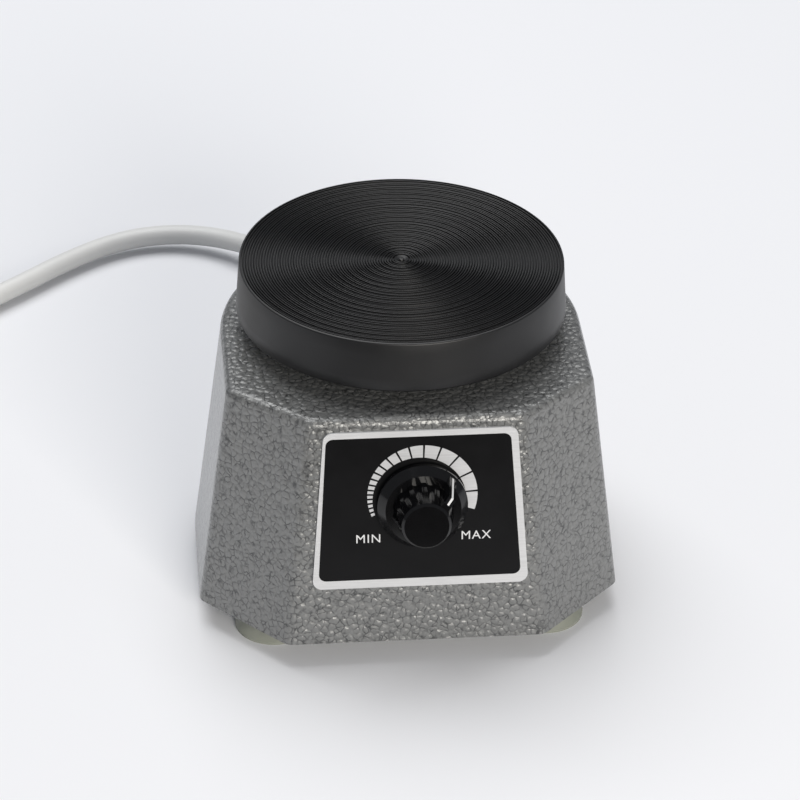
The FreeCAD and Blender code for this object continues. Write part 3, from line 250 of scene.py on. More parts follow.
def studio_floor():
    """Matt paper: pale to the camera and in gloss, greyer for the light that it throws back."""
    material, tree, shader, _ = start_finish("matt_paper_sweep", Roughness=0.9, Specular_IOR_Level=0.1)
    ray = add(tree, "ShaderNodeLightPath").outputs
    mirrored = add(tree, "ShaderNodeMath", {0: ray["Is Glossy Ray"], 1: ray["Is Transmission Ray"]},
                   operation="MAXIMUM")
    looked_at = add(tree, "ShaderNodeMath", {0: ray["Is Camera Ray"], 1: mirrored.outputs[0]},
                    operation="MAXIMUM")
    tone = add(tree, "ShaderNodeMix", {0: looked_at.outputs[0], 6: paint("#c0c1c4"), 7: paint("#f3f4f7")},
               data_type="RGBA")
    tree.links.new(tone.outputs[2], shader.inputs["Base Color"])
    flat_sheet("floor", (-FLOOR_HALF, -FLOOR_HALF), (FLOOR_HALF, FLOOR_HALF), 0.0, material)


def black_card():
    """A dark card on the bench in front, seen only in gloss: it keeps the black knob and panel deep."""
    material, *_ = start_finish("black_card", Roughness=0.9, Base_Color=paint("#0c0c0d"))
    card = flat_sheet("black_card", (-CARD_HALF, CARD_FAR), (CARD_HALF, CARD_NEAR), CARD_HEIGHT, material)
    card.visible_camera = False
    card.visible_diffuse = False
    card.visible_transmission = False
    card.visible_shadow = False


studio_floor()
black_card()
print("floor:", 2 * FLOOR_HALF, "m wide")

# %% World and lights
ROOM_STRENGTH = 0.3


def pale_room():
    """Pale walls and ceiling."""
    world = bpy.data.worlds.new("pale_room")
    world.use_nodes = True
    backdrop = world.node_tree.nodes["Background"]
    backdrop.inputs["Color"].default_value = paint("#e6e9f0")
    backdrop.inputs["Strength"].default_value = ROOM_STRENGTH
    bpy.context.scene.world = world


def soft_light(name, place, aim, size, watts, tint="#ffffff"):
    """A square softbox that faces a point."""
    lamp = bpy.data.lights.new(name, "AREA")
    lamp.shape = "SQUARE"
    lamp.size = size
    lamp.energy = watts
    lamp.color = paint(tint)[:3]
    heading = (Vector(aim) - Vector(place)).to_track_quat("-Z", "Y")
    set_down(name, lamp, Matrix.Translation(place) @ heading.to_matrix().to_4x4())


pale_room()
soft_light("front_softbox", place=(0.37, -1.4, 0.52), aim=(0, 0, 0.05), size=0.7, watts=16.7, tint="#fffaf2")
soft_light("top_softbox", place=(-0.2, 0.75, 1.8), aim=(0, 0.3, 0), size=1.6, watts=27.0)
bpy.context.scene.view_settings.view_transform = "Standard"
print("lamps:", [light.name for light in bpy.data.lights])

# %% [markdown]
# ## Hammertone enamel on the housing
# Hammertone is a stoving enamel with silicone and aluminium flake: while it dries it pulls into round cells
# about two millimetres wide with thin darker creases between them. A Voronoi texture gives both: its distance
# to the cell edge draws the creases, whose dark is partly the enamel's own tone and partly painted shade in
# the valleys between the pebbles, and its distance to the cell's middle raises the pebbles. The coordinates
# are shaken by noise, or the cells would look ruled. The flake makes the enamel about a third metallic, and a
# thin clear coat over it gives the pale sheen of a side that is seen almost edge on.

# %% Hammertone enamel
CELL_MM = 2.0
CELL_RISE_MM = 0.25
CELL_REACH = 0.8
CREASE_SHARE = 0.13
SHAKE_MM = 0.9
SHAKE_GRAIN_MM = 2.4
PATCH_MM = 1.7
# Real flake is finer than a tenth of a millimetre; it is drawn this coarse so that it shows
FLAKE_MM = 0.9


def per_metre(millimetres):
    """Texture scale that repeats once in that many millimetres."""
    return 1.0 / (millimetres * MM)


def wear(material, *names):
    """Put a finish on CAD nodes by name."""
    for name in names:
        nodes[name].data.materials.clear()
        nodes[name].data.materials.append(material)


def hammertone_enamel():
    """Stoved enamel with aluminium flake: even grey, pillowed cells, thin dark creases that come and go,
    partly painted shade.
    """
    material, tree, shader, place = start_finish("hammertone_enamel", Roughness=0.33, Metallic=0.3, IOR=1.5,
                                                 Coat_Weight=0.5, Coat_Roughness=0.12)
    shake = add(tree, "ShaderNodeTexNoise", {"Vector": place, "Scale": per_metre(SHAKE_GRAIN_MM),
                                             "Detail": 3.0})
    centred = add(tree, "ShaderNodeVectorMath", {0: shake.outputs["Color"], 1: (0.5, 0.5, 0.5)},
                  operation="SUBTRACT")
    moved = add(tree, "ShaderNodeVectorMath", {0: centred.outputs[0], 1: (SHAKE_MM * MM * 2,) * 3, 2: place},
                operation="MULTIPLY_ADD")
    cells = add(tree, "ShaderNodeTexVoronoi", {"Vector": moved.outputs[0], "Scale": per_metre(CELL_MM)},
                feature="DISTANCE_TO_EDGE")
    crease = add(tree, "ShaderNodeMapRange", {"Value": cells.outputs["Distance"], "From Min": 0.0,
                                              "From Max": CREASE_SHARE}, interpolation_type="SMOOTHSTEP")
    patchy = add(tree, "ShaderNodeTexNoise", {"Vector": place, "Scale": per_metre(PATCH_MM), "Detail": 2.0})
    kept = add(tree, "ShaderNodeMapRange", {"Value": patchy.outputs["Fac"], "From Min": 0.35,
                                            "From Max": 0.65, "To Min": 1.0, "To Max": 0.2})
    off_crease_shade = add(tree, "ShaderNodeMath", {0: crease.outputs["Result"], 1: kept.outputs["Result"]},
               operation="MAXIMUM")
    flake = add(tree, "ShaderNodeTexNoise", {"Vector": place, "Scale": per_metre(FLAKE_MM), "Detail": 3.0})
    pale = add(tree, "ShaderNodeMix", {0: flake.outputs["Fac"], 6: paint("#6f7070"), 7: paint("#8a8b8a")},
               data_type="RGBA")
    # The creases' dark colour is partly the enamel's own tone and partly painted shade in the valleys between
    # the pebbles
    colour = add(tree, "ShaderNodeMix", {0: off_crease_shade.outputs[0], 6: paint("#27282a"), 7: pale.outputs[2]},
                 data_type="RGBA")
    tree.links.new(colour.outputs[2], shader.inputs["Base Color"])
    pebbles = add(tree, "ShaderNodeTexVoronoi", {"Vector": moved.outputs[0], "Scale": per_metre(CELL_MM)})
    dome = add(tree, "ShaderNodeMapRange", {"Value": pebbles.outputs["Distance"], "From Min": CELL_REACH,
                                            "From Max": 0.0}, interpolation_type="SMOOTHSTEP")
    bump = add(tree, "ShaderNodeBump", {"Strength": 1.0, "Distance": CELL_RISE_MM * MM,
                                        "Height": dome.outputs["Result"]})
    tree.links.new(bump.outputs["Normal"], shader.inputs["Normal"])
    return material


wear(hammertone_enamel(), "housing_shell")
print("enamel cells:", CELL_MM, "mm")

# %% [markdown]
# ## The ribbed rubber mat
# The table wears a moulded rubber cap. Its top has close to sixty fine rings, less than a millimetre apart,
# that run out to a thin rim, and a small nub in the middle. A bump texture could draw them, but their edges
# would stay flat against the light. The solid carries fewer, broader rings, so the mat is turned again here
# as one lathed mesh with all of them, each a little higher or lower than the next.

# %% Turned forms and pieces
SMOOTH_BELOW = 35.0


def mesh_of(form, name):
    """The mesh of a finished bmesh, which is freed."""
    mesh = bpy.data.meshes.new(name)
    form.to_mesh(mesh)
    form.free()
    return mesh


def lathe(name, profile, segments):
    """Turn an open profile of (radius, height) in millimetres round Z; ends on the axis close to a point."""
    form = bmesh.new()
    rows = []
    for radius, z in profile:
        if radius < 1e-6:
            rows.append([form.verts.new((0, 0, z * MM))])
            continue
        row = []
        for i in range(segments):
            angle = 2 * math.pi * i / segments
            row.append(form.verts.new((radius * MM * math.cos(angle), radius * MM * math.sin(angle), z * MM)))
        rows.append(row)
    for low, high in zip(rows, rows[1:]):
        for i in range(segments):
            j = (i + 1) % segments
            loop = [low[i % len(low)], low[j % len(low)], high[j % len(high)], high[i % len(high)]]
            corners = list(dict.fromkeys(loop))
            if len(corners) > 2:
                form.faces.new(corners)
    bmesh.ops.recalc_face_normals(form, faces=form.faces)
    return mesh_of(form, name)


def dress(name, mesh, material, smooth=SMOOTH_BELOW, at=None):
    """An object of a mesh with its finish, shaded smooth below an angle."""
    piece = set_down(name, mesh, at)
    mesh.materials.append(material)
    mesh.shade_smooth()
    mesh.set_sharp_from_angle(angle=math.radians(smooth))
    return piece


def finish_piece(name, mesh, body, material, smooth=SMOOTH_BELOW, at=None):
    """A dressed piece that rides on a body."""
    piece = dress(name, mesh, material, smooth, at)
    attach(piece, body)
    return piece


# %% Mat outline
MAT_TOP = 103.2
MAT_BOTTOM = 87.4
MAT_RADIUS_TOP = 49.0
MAT_RADIUS_BOTTOM = 50.0
MAT_RIM = 48.3
MAT_BORE = 46.0
TABLE_TOP = 99.2
SKIRT_EDGE = 0.6
LIP_RADIUS = 43.0
LIP_HEIGHT = 2.0
LIP_SOFT = 0.2
# How far in and down from the mat's upper corner its soft edge runs
RIM_CURVE = [(0.0, 0.5), (0.08, 0.2), (0.3, 0.04)]
RING_PITCH = 0.8
RING_DEPTH = 0.7
RING_UNEVEN = 0.18
RING_SOFT = 0.08
# Shares of a ring's pitch, from its outer side in
GROOVE_FROM = 0.08
GROOVE_TO = 0.5
CREST_FROM = 0.62
CREST_AT = 0.8
NUB_ROOM = 1.2
# Radius of the nub and how far down from the mat's top it lies there
NUB_CURVE = [(0.95, RING_DEPTH), (0.7, 0.1), (0.35, 0.0), (0.0, 0.0)]


def ring_top(ring):
    """Height of a ring's crest, which wanders a little from ring to ring as moulded rubber does."""
    wander = 2.1 * ring + 1.7 * math.sin(0.37 * ring)
    return MAT_TOP - RING_UNEVEN * (0.5 - 0.5 * math.cos(wander))


def mat_profile():
    """Outline of the cap from the inside of its cover, round the skirt and in over the rings."""
    profile = [(0.0, TABLE_TOP), (MAT_BORE, TABLE_TOP), (MAT_BORE, MAT_BOTTOM + LIP_HEIGHT + LIP_SOFT),
               (LIP_RADIUS + LIP_SOFT, MAT_BOTTOM + LIP_HEIGHT), (LIP_RADIUS, MAT_BOTTOM + LIP_SOFT),
               (LIP_RADIUS + LIP_SOFT * 1.5, MAT_BOTTOM), (MAT_RADIUS_BOTTOM - SKIRT_EDGE, MAT_BOTTOM),
               (MAT_RADIUS_BOTTOM - SKIRT_EDGE / 3, MAT_BOTTOM + SKIRT_EDGE / 4),
               (MAT_RADIUS_BOTTOM, MAT_BOTTOM + SKIRT_EDGE)]
    for part in (0.25, 0.5, 0.75):
        z = MAT_BOTTOM + SKIRT_EDGE + (MAT_TOP - MAT_BOTTOM - SKIRT_EDGE * 2) * part
        profile.append((MAT_RADIUS_BOTTOM + (MAT_RADIUS_TOP - MAT_RADIUS_BOTTOM) * part, z))
    profile += [(MAT_RADIUS_TOP - inward, MAT_TOP - down) for inward, down in RIM_CURVE]
    profile.append((MAT_RIM, MAT_TOP))
    rings = int((MAT_RIM - NUB_ROOM) / RING_PITCH)
    for ring in range(rings):
        outer = MAT_RIM - ring * RING_PITCH
        top = ring_top(ring)
        profile += [(outer - RING_PITCH * GROOVE_FROM, MAT_TOP - RING_DEPTH),
                    (outer - RING_PITCH * GROOVE_TO, MAT_TOP - RING_DEPTH),
                    (outer - RING_PITCH * CREST_FROM, top - RING_SOFT),
                    (outer - RING_PITCH * CREST_AT, top),
                    (outer - RING_PITCH, top - RING_SOFT)]
    profile += [(radius, MAT_TOP - down) for radius, down in NUB_CURVE]
    return profile, rings


profile, ring_count = mat_profile()
print("mat rings:", ring_count, "points:", len(profile))

# %% Rubber and mat
MAT_SEGMENTS = 128
MAT_SMOOTH_BELOW = 50.0
BLOOM_MM = 14.0
# The mould leaves a grit of a few hundredths of a millimetre; it is drawn coarser so that it shows
GRIT_MM = 0.6
FINE_RISE = 0.05 * MM


def moulded_rubber():
    """Black natural rubber from a turned mould: deep, half matt, with a gloss that varies as it blooms."""
    material, tree, shader, place = start_finish("moulded_black_rubber", IOR=1.52, Specular_IOR_Level=0.5)
    bloom = add(tree, "ShaderNodeTexNoise", {"Vector": place, "Scale": per_metre(BLOOM_MM), "Detail": 5.0})
    colour = add(tree, "ShaderNodeMix", {0: bloom.outputs["Fac"], 6: paint("#080809"), 7: paint("#111113")},
                 data_type="RGBA")
    tree.links.new(colour.outputs[2], shader.inputs["Base Color"])
    gloss = add(tree, "ShaderNodeMapRange", {"Value": bloom.outputs["Fac"], "To Min": 0.36, "To Max": 0.52})
    tree.links.new(gloss.outputs["Result"], shader.inputs["Roughness"])
    grit = add(tree, "ShaderNodeTexNoise", {"Vector": place, "Scale": per_metre(GRIT_MM), "Detail": 2.0})
    bump = add(tree, "ShaderNodeBump", {"Strength": 0.15, "Distance": FINE_RISE,
                                        "Height": grit.outputs["Fac"]})
    tree.links.new(bump.outputs["Normal"], shader.inputs["Normal"])
    return material


mat = finish_piece("ribbed_mat", lathe("ribbed_mat", profile, MAT_SEGMENTS), "platform",
                   moulded_rubber(), smooth=MAT_SMOOTH_BELOW)
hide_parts("rubber_mat")
print("mat faces:", len(mat.data.polygons))

# %% [markdown]
# ## The control panel
# The panel is a thin printed metal plate: a bare silver border round a black lacquered field, a scale that
# grows from dots to blocks round the knob, and a plain word at each end. A picture on the plate could carry
# the print, but thin meshes stay sharp at any distance and can be changed mark by mark. So the plate is the
# CAD solid, and the field, the marks and the words are skins of about a tenth of a millimetre on its face,
# placed in the panel's own axes.

# %% Panel axes and skins
PANEL_PLACE = Vector((1.55, -57.593, 53.855))
# The front leans back by 10.2 mm over its height of 73 mm
LEAN = math.atan2(10.2, 73.0)
PANEL_UP = Vector((0, math.sin(LEAN), math.cos(LEAN)))
PANEL_OUT = Vector((0, -math.cos(LEAN), math.sin(LEAN)))
PLATE_FACE = 0.8


def on_panel(u, v, w):
    """A point by its place across, up and out of the panel, in metres."""
    return (PANEL_PLACE + Vector((u, 0, 0)) + PANEL_UP * v + PANEL_OUT * w) * MM


def skin(name, outlines, bottom, top):
    """Thin plates of given outlines that lie on the panel."""
    form = bmesh.new()
    for outline in outlines:
        low = [form.verts.new(on_panel(u, v, bottom)) for u, v in outline]
        high = [form.verts.new(on_panel(u, v, top)) for u, v in outline]
        form.faces.new(high)
        form.faces.new(low[::-1])
        for i in range(len(outline)):
            j = (i + 1) % len(outline)
            form.faces.new([low[i], low[j], high[j], high[i]])
    bmesh.ops.recalc_face_normals(form, faces=form.faces)
    return mesh_of(form, name)


def rounded(corners, radius, steps=6):
    """Outline with round corners."""
    outline = []
    count = len(corners)
    for i, corner in enumerate(corners):
        here = Vector(corner)
        back = (Vector(corners[i - 1]) - here).normalized()
        on = (Vector(corners[(i + 1) % count]) - here).normalized()
        half = back.angle(on) / 2
        middle = here + (back + on).normalized() * (radius / math.sin(half))
        reach = radius / math.tan(half)
        first = here + back * reach - middle
        last = here + on * reach - middle
        sweep = first.angle_signed(last)
        for k in range(steps + 1):
            angle = -sweep * k / steps
            turned = Vector((first.x * math.cos(angle) - first.y * math.sin(angle),
                             first.x * math.sin(angle) + first.y * math.cos(angle)))
            outline.append(tuple(middle + turned))
    return outline


print("panel leans:", round(math.degrees(LEAN), 1), "degrees")

# %% Panel finishes
# Rolling lines lie less than a tenth of a millimetre apart; they are drawn coarser so that they show
LINE_MM = 0.5
LINE_STRETCH = 0.05
SMEAR_MM = 9.0


def lined_sheet(name, colour, roughness, metallic):
    """Thin rolled sheet, or print on it: fine lines across, silver where bare and white where printed."""
    material, tree, shader, place = start_finish(name, Roughness=roughness, Metallic=metallic)
    stretched = add(tree, "ShaderNodeMapping", {"Vector": place, "Scale": (LINE_STRETCH, 1.0, 1.0)})
    lines = add(tree, "ShaderNodeTexNoise", {"Vector": stretched.outputs[0], "Scale": per_metre(LINE_MM),
                                             "Detail": 2.0})
    tint = add(tree, "ShaderNodeMix", {0: lines.outputs["Fac"], 6: paint(colour), 7: paint("#dedfe1")},
               data_type="RGBA")
    tree.links.new(tint.outputs[2], shader.inputs["Base Color"])
    return material


def black_lacquer():
    """Screen-printed black lacquer: deep, nearly smooth, with faint handling marks."""
    material, tree, shader, place = start_finish("printed_black_lacquer", IOR=1.5, Specular_IOR_Level=0.15)
    smear = add(tree, "ShaderNodeTexNoise", {"Vector": place, "Scale": per_metre(SMEAR_MM), "Detail": 6.0})
    colour = add(tree, "ShaderNodeMix", {0: smear.outputs["Fac"], 6: paint("#0b0b0c"), 7: paint("#121214")},
                 data_type="RGBA")
    tree.links.new(colour.outputs[2], shader.inputs["Base Color"])
    gloss = add(tree, "ShaderNodeMapRange", {"Value": smear.outputs["Fac"], "To Min": 0.25, "To Max": 0.4})
    tree.links.new(gloss.outputs["Result"], shader.inputs["Roughness"])
    return material


wear(lined_sheet("rolled_aluminium", "#c6c7c9", 0.42, 0.2), "front_panel")
print("panel plate dressed")

# %% Field and scale
FIELD_CORNERS = [(-30.75, -24.9), (29.65, -24.8), (26.15, 21.7), (-28.15, 21.7)]
FIELD_ROUND = 2.2
FIELD_SUNK = 0.1
FIELD_PROUD = 0.05
SCALE_MIDDLE = (0.15, 2.5)
SCALE_RADIUS = 16.3
MARKS = 19
EQUAL_MARKS = 6
FIRST_EDGE = -113.0
FIRST_PITCH = 5.4
LAST_PITCH = 23.0
PITCH_GROWTH = 1.145
MARK_GAP = 2.2
MARK_THICK = 2.5
MARK_SWELL = 1.7
MARK_PROUD = 0.09
MARK_STEP = 4
THICKEST_AT = 32.0

field_mesh = skin("panel_field", [rounded(FIELD_CORNERS, FIELD_ROUND)], PLATE_FACE - FIELD_SUNK,
                  PLATE_FACE + FIELD_PROUD)
finish_piece("panel_field", field_mesh, "housing", black_lacquer())


def scale_marks():
    """Outlines of the marks: slices of a crescent, small and equal at first, then longer and longer."""
    outlines = []
    edge = FIRST_EDGE
    for number in range(MARKS):
        pitch = min(LAST_PITCH, FIRST_PITCH * PITCH_GROWTH ** max(0, number - EQUAL_MARKS + 1))
        steps = 1 + int(pitch / MARK_STEP)
        angles = [math.radians(edge + (pitch - MARK_GAP) * k / steps) for k in range(steps + 1)]
        outer = []
        inner = []
        for angle in angles:
            thick = MARK_THICK + MARK_SWELL * math.cos(angle - math.radians(THICKEST_AT))
            across = Vector((math.sin(angle), math.cos(angle)))
            outer.append(tuple(Vector(SCALE_MIDDLE) + across * SCALE_RADIUS))
            inner.append(tuple(Vector(SCALE_MIDDLE) + across * (SCALE_RADIUS - thick)))
        outlines.append(inner + outer[::-1])
        edge += pitch
    return outlines


mark_mesh = skin("scale_marks", scale_marks(), PLATE_FACE, PLATE_FACE + MARK_PROUD)
finish_piece("scale_marks", mark_mesh, "housing",
             lined_sheet("bare_aluminium_marks", "#bdbec1", 0.45, 0.3))
print("scale marks:", MARKS)

# %% Words
CAPITAL_TO_SIZE = 1.42
WORD_HEIGHT = 2.8
WORD_SPACING = 1.12
WORD_HALF_THICK = 0.04


def panel_word(text, u, v, material):
    """A word in thin print, centred on a point of the panel."""
    letters = bpy.data.curves.new(f"word_{text}", "FONT")
    letters.body = text
    letters.align_x = "CENTER"
    letters.align_y = "CENTER"
    letters.size = WORD_HEIGHT * CAPITAL_TO_SIZE * MM
    letters.space_character = WORD_SPACING
    letters.extrude = WORD_HALF_THICK * MM
    mesh = bpy.data.meshes.new_from_object(bpy.data.objects.new("letters", letters))
    axes = Matrix((Vector((1, 0, 0)), PANEL_UP, PANEL_OUT)).transposed().to_4x4()
    mesh.transform(Matrix.Translation(on_panel(u, v, PLATE_FACE + FIELD_PROUD)) @ axes)
    finish_piece(f"word_{text}", mesh, "housing", material)


white_print = lined_sheet("white_screen_print", "#e4e5e6", 0.5, 0.0)
panel_word("MIN", -15.9, -11.3, white_print)
panel_word("MAX", 16.05, -11.35, white_print)

# %% [markdown]
# ## The knob
# The knob is moulded phenolic, polished black, with a broad skirt, a fluted grip and a pointer fin. CAD gives
# its shape. The white pointer line is paint wiped along the fin's outer edge and over its end. A second
# material would need new faces in the solid's mesh, so the line is a thin strip that hugs the fin.

# %% Knob
KNOB_TURN = math.radians(44.0)
# Corners of the fin's outer edge: reach from the knob's axis, and height over the panel
FIN_EDGE = [(12.77, 4.14), (11.0, 14.5), (8.9, 15.78)]
LINE_HALF = 0.34
LINE_PROUD = 0.05
LINE_DEEP = 0.3
PEEL_MM = 2.2


def polished_phenolic():
    """Compression-moulded phenolic: black, glossy, with the faint orange peel of a polished mould."""
    material, tree, shader, place = start_finish("polished_phenolic", Roughness=0.12, IOR=1.6,
                                                 Specular_IOR_Level=0.3)
    peel = add(tree, "ShaderNodeTexNoise", {"Vector": place, "Scale": per_metre(PEEL_MM), "Detail": 2.0})
    colour = add(tree, "ShaderNodeMix", {0: peel.outputs["Fac"], 6: paint("#060607"), 7: paint("#0d0d0f")},
                 data_type="RGBA")
    tree.links.new(colour.outputs[2], shader.inputs["Base Color"])
    bump = add(tree, "ShaderNodeBump", {"Strength": 0.05, "Distance": FINE_RISE,
                                        "Height": peel.outputs["Fac"]})
    tree.links.new(bump.outputs["Normal"], shader.inputs["Normal"])
    return material


def pointer_line():
    """White strip up the fin's leaning edge and in over its cut corner."""
    along = Vector((math.sin(KNOB_TURN), math.cos(KNOB_TURN)))
    aside = Vector((math.cos(KNOB_TURN), -math.sin(KNOB_TURN)))
    section = [(LINE_PROUD, LINE_HALF), (LINE_PROUD, -LINE_HALF), (-LINE_DEEP, -LINE_HALF),
               (-LINE_DEEP, LINE_HALF)]
    form = bmesh.new()
    rows = []
    for reach, height in FIN_EDGE:
        row = []
        for lift, side in section:
            spot = along * (reach + lift) + aside * side
            row.append(form.verts.new(on_panel(spot.x, spot.y, height + lift)))
        rows.append(row)
    for low, high in zip(rows, rows[1:]):
        for i in range(len(section)):
            j = (i + 1) % len(section)
            form.faces.new([low[i], low[j], high[j], high[i]])
    form.faces.new(rows[0])
    form.faces.new(rows[-1][::-1])
    bmesh.ops.recalc_face_normals(form, faces=form.faces)
    return mesh_of(form, "pointer_line")


wear(polished_phenolic(), "control_knob")
line = finish_piece("pointer_line", pointer_line(), "knob",
                    lined_sheet("white_pointer_paint", "#f2f2f0", 0.4, 0.0))
print("pointer line faces:", len(line.data.polygons))

# %% [markdown]
# ## Clear feet, lead and plug
# The feet are suction cups of clear soft PVC, a little green in the thickness. The lead and its mouldings are
# white PVC with a faint extruded skin. Full glass would leave the cups almost unseen on a pale bench, so the
# shader lets less than half of the light through and keeps a milky colour.

# %% Soft PVC
CLOUD_MM = 6.0
SHEATH_MM = 11.0
# The real skin is finer than a tenth of a millimetre; it is drawn coarser so that it shows
SHEATH_GRAIN_MM = 0.8


def clear_pvc():
    """Dip-moulded clear PVC: half see-through, greenish and a little cloudy."""
    material, tree, shader, place = start_finish("clear_soft_pvc", Roughness=0.22, IOR=1.53,
                                                 Transmission_Weight=0.4)
    cloud = add(tree, "ShaderNodeTexNoise", {"Vector": place, "Scale": per_metre(CLOUD_MM), "Detail": 3.0})
    colour = add(tree, "ShaderNodeMix", {0: cloud.outputs["Fac"], 6: paint("#aeb2a4"), 7: paint("#c6c9bf")},
                 data_type="RGBA")
    tree.links.new(colour.outputs[2], shader.inputs["Base Color"])
    return material


def white_pvc():
    """Extruded white PVC: half matt, almost even, with a fine skin."""
    material, tree, shader, place = start_finish("extruded_white_pvc", Roughness=0.42, IOR=1.53)
    sheath = add(tree, "ShaderNodeTexNoise", {"Vector": place, "Scale": per_metre(SHEATH_MM), "Detail": 4.0})
    colour = add(tree, "ShaderNodeMix", {0: sheath.outputs["Fac"], 6: paint("#dfdfdd"), 7: paint("#e9e9e7")},
                 data_type="RGBA")
    tree.links.new(colour.outputs[2], shader.inputs["Base Color"])
    grain = add(tree, "ShaderNodeTexNoise", {"Vector": place, "Scale": per_metre(SHEATH_GRAIN_MM),
                                             "Detail": 2.0})
    bump = add(tree, "ShaderNodeBump", {"Strength": 0.1, "Distance": FINE_RISE,
                                        "Height": grain.outputs["Fac"]})
    tree.links.new(bump.outputs["Normal"], shader.inputs["Normal"])
    return material


wear(clear_pvc(), "foot_front_left", "foot_front_right", "foot_rear_left", "foot_rear_right")
lead_sheath = white_pvc()
lead_curve.materials.append(lead_sheath)
wear(lead_sheath, "cord_gland", "mains_plug")
print("sheath:", lead_sheath.name)

# %% [markdown]
# ## The strap round the coil
# The coil is held by a hook-and-loop strap: one flat woven band round the bundle, its free end lapped over
# the outside. A bevelled curve could follow it, but may twist at the bends. So a flat section with soft edges
# is carried along a line in one upright plane, with the band's threads running along it.

# %% Strap band and weave
STRAP_THICK = 1.0
STRAP_WIDTH = 12.0
STRAP_EDGE = 0.3
# Threads of such a band are about a third of a millimetre wide; they are drawn coarser so that they show
THREAD_MM = 0.9
THREAD_RISE_MM = 0.15
# How far Blender's wave texture turns in each unit of its scale
WAVE_RADIANS = 20.0


def band(name, line, closed):
    """Flat strip with soft edges along a line of (reach, height) points."""
    half, deep = STRAP_WIDTH / 2, STRAP_THICK / 2
    section = [(STRAP_EDGE - half, -deep), (half - STRAP_EDGE, -deep), (half, STRAP_EDGE - deep),
               (half, deep - STRAP_EDGE), (half - STRAP_EDGE, deep), (STRAP_EDGE - half, deep),
               (-half, deep - STRAP_EDGE), (-half, STRAP_EDGE - deep)]
    form = bmesh.new()
    rows = []
    for i, point in enumerate(line):
        before = line[i - 1] if closed or i else point
        after = line[(i + 1) % len(line)] if closed or i + 1 < len(line) else point
        run = (Vector(after) - Vector(before)).normalized()
        row = []
        for side, lift in section:
            row.append(form.verts.new(Vector((point[0] + run.y * lift, side, point[1] - run.x * lift)) * MM))
        rows.append(row)
    for low, high in zip(rows, rows[1:] + (rows[:1] if closed else [])):
        for i in range(len(section)):
            j = (i + 1) % len(section)
            form.faces.new([low[i], low[j], high[j], high[i]])
    if not closed:
        form.faces.new(rows[0])
        form.faces.new(rows[-1])
    bmesh.ops.recalc_face_normals(form, faces=form.faces)
    return mesh_of(form, name)


def bands_per_metre(millimetres):
    """Wave texture scale for one band in that many millimetres."""
    return per_metre(millimetres) * 2 * math.pi / WAVE_RADIANS


def woven_nylon():
    """Black nylon weave: matt, with threads along the band and a little fuzz."""
    material, tree, shader, place = start_finish("woven_nylon", Roughness=0.75, IOR=1.53)
    threads = add(tree, "ShaderNodeTexWave", {"Vector": place, "Scale": bands_per_metre(THREAD_MM),
                                              "Distortion": 1.5, "Detail": 2.0}, bands_direction="Y")
    colour = add(tree, "ShaderNodeMix", {0: threads.outputs["Fac"], 6: paint("#101011"), 7: paint("#29292b")},
                 data_type="RGBA")
    tree.links.new(colour.outputs[2], shader.inputs["Base Color"])
    bump = add(tree, "ShaderNodeBump", {"Strength": 0.6, "Distance": THREAD_RISE_MM * MM,
                                        "Height": threads.outputs["Fac"]})
    tree.links.new(bump.outputs["Normal"], shader.inputs["Normal"])
    return material


strap_weave = woven_nylon()
print("strap threads:", THREAD_MM, "mm")

# %% Strap and its lap
STRAP_GAP = 0.6
STRAP_TURNED = 0.5
LAP_LOW = 6.0
LAP_FROM = 7.0
LAP_STEPS = 6

# The strap's middle line runs this far from the middle of the lead that it hugs
strap_round = LEAD_DIAMETER / 2 + STRAP_GAP + STRAP_THICK / 2
strap_low = COIL_INNER - COIL_STEP / 4 - strap_round
strap_high = coil_outer - COIL_STEP * STRAP_TURNED + strap_round
strap_top = coil_start.z + COIL_STEP + strap_round
strap_floor = STRAP_THICK / 2
loop = rounded([(strap_low, strap_floor), (strap_high, strap_floor), (strap_high, strap_top),
                (strap_low, strap_top)], strap_round)
lap = [(strap_high + STRAP_THICK, LAP_LOW)]
for step in range(LAP_STEPS + 1):
    angle = math.pi / 2 * step / LAP_STEPS
    lap.append((strap_high - strap_round + (strap_round + STRAP_THICK) * math.cos(angle),
                strap_top - strap_round + (strap_round + STRAP_THICK) * math.sin(angle)))
lap.append((strap_low + LAP_FROM, strap_top + STRAP_THICK))
strap_place = (Matrix.Translation(Vector((coil_middle.x, coil_middle.y, 0)) * MM)
               @ Matrix.Rotation(coil_bearing - 2 * math.pi * STRAP_TURNED, 4, "Z"))
strap = finish_piece("coil_strap", band("coil_strap", loop, True), "housing", strap_weave,
                     at=strap_place)
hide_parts("cord_tie")
lapped = finish_piece("strap_lap", band("strap_lap", lap, False), "housing", strap_weave,
                      at=strap_place)
print("strap reach:", round(strap_high - strap_low, 1), "mm")

# %% [markdown]
# ## Grip ribs on the plug
# A moulded plug has a few raised ribs where thumb and finger pull it. The plug's own mesh stays as it is, so
# they are small round-edged bars, sunk a little into its upper face and set square to the lead. With them the
# lead is complete.

# %% Plug ribs
RIB_COUNT = 5
RIB_PITCH = 3.2
RIB_SIZE = (14.0, 1.4, 1.2)
RIB_SUNK = 0.7
RIB_SOFT = 0.35
PLUG_RELIEF = 25.0
PLUG_BODY = 34.0


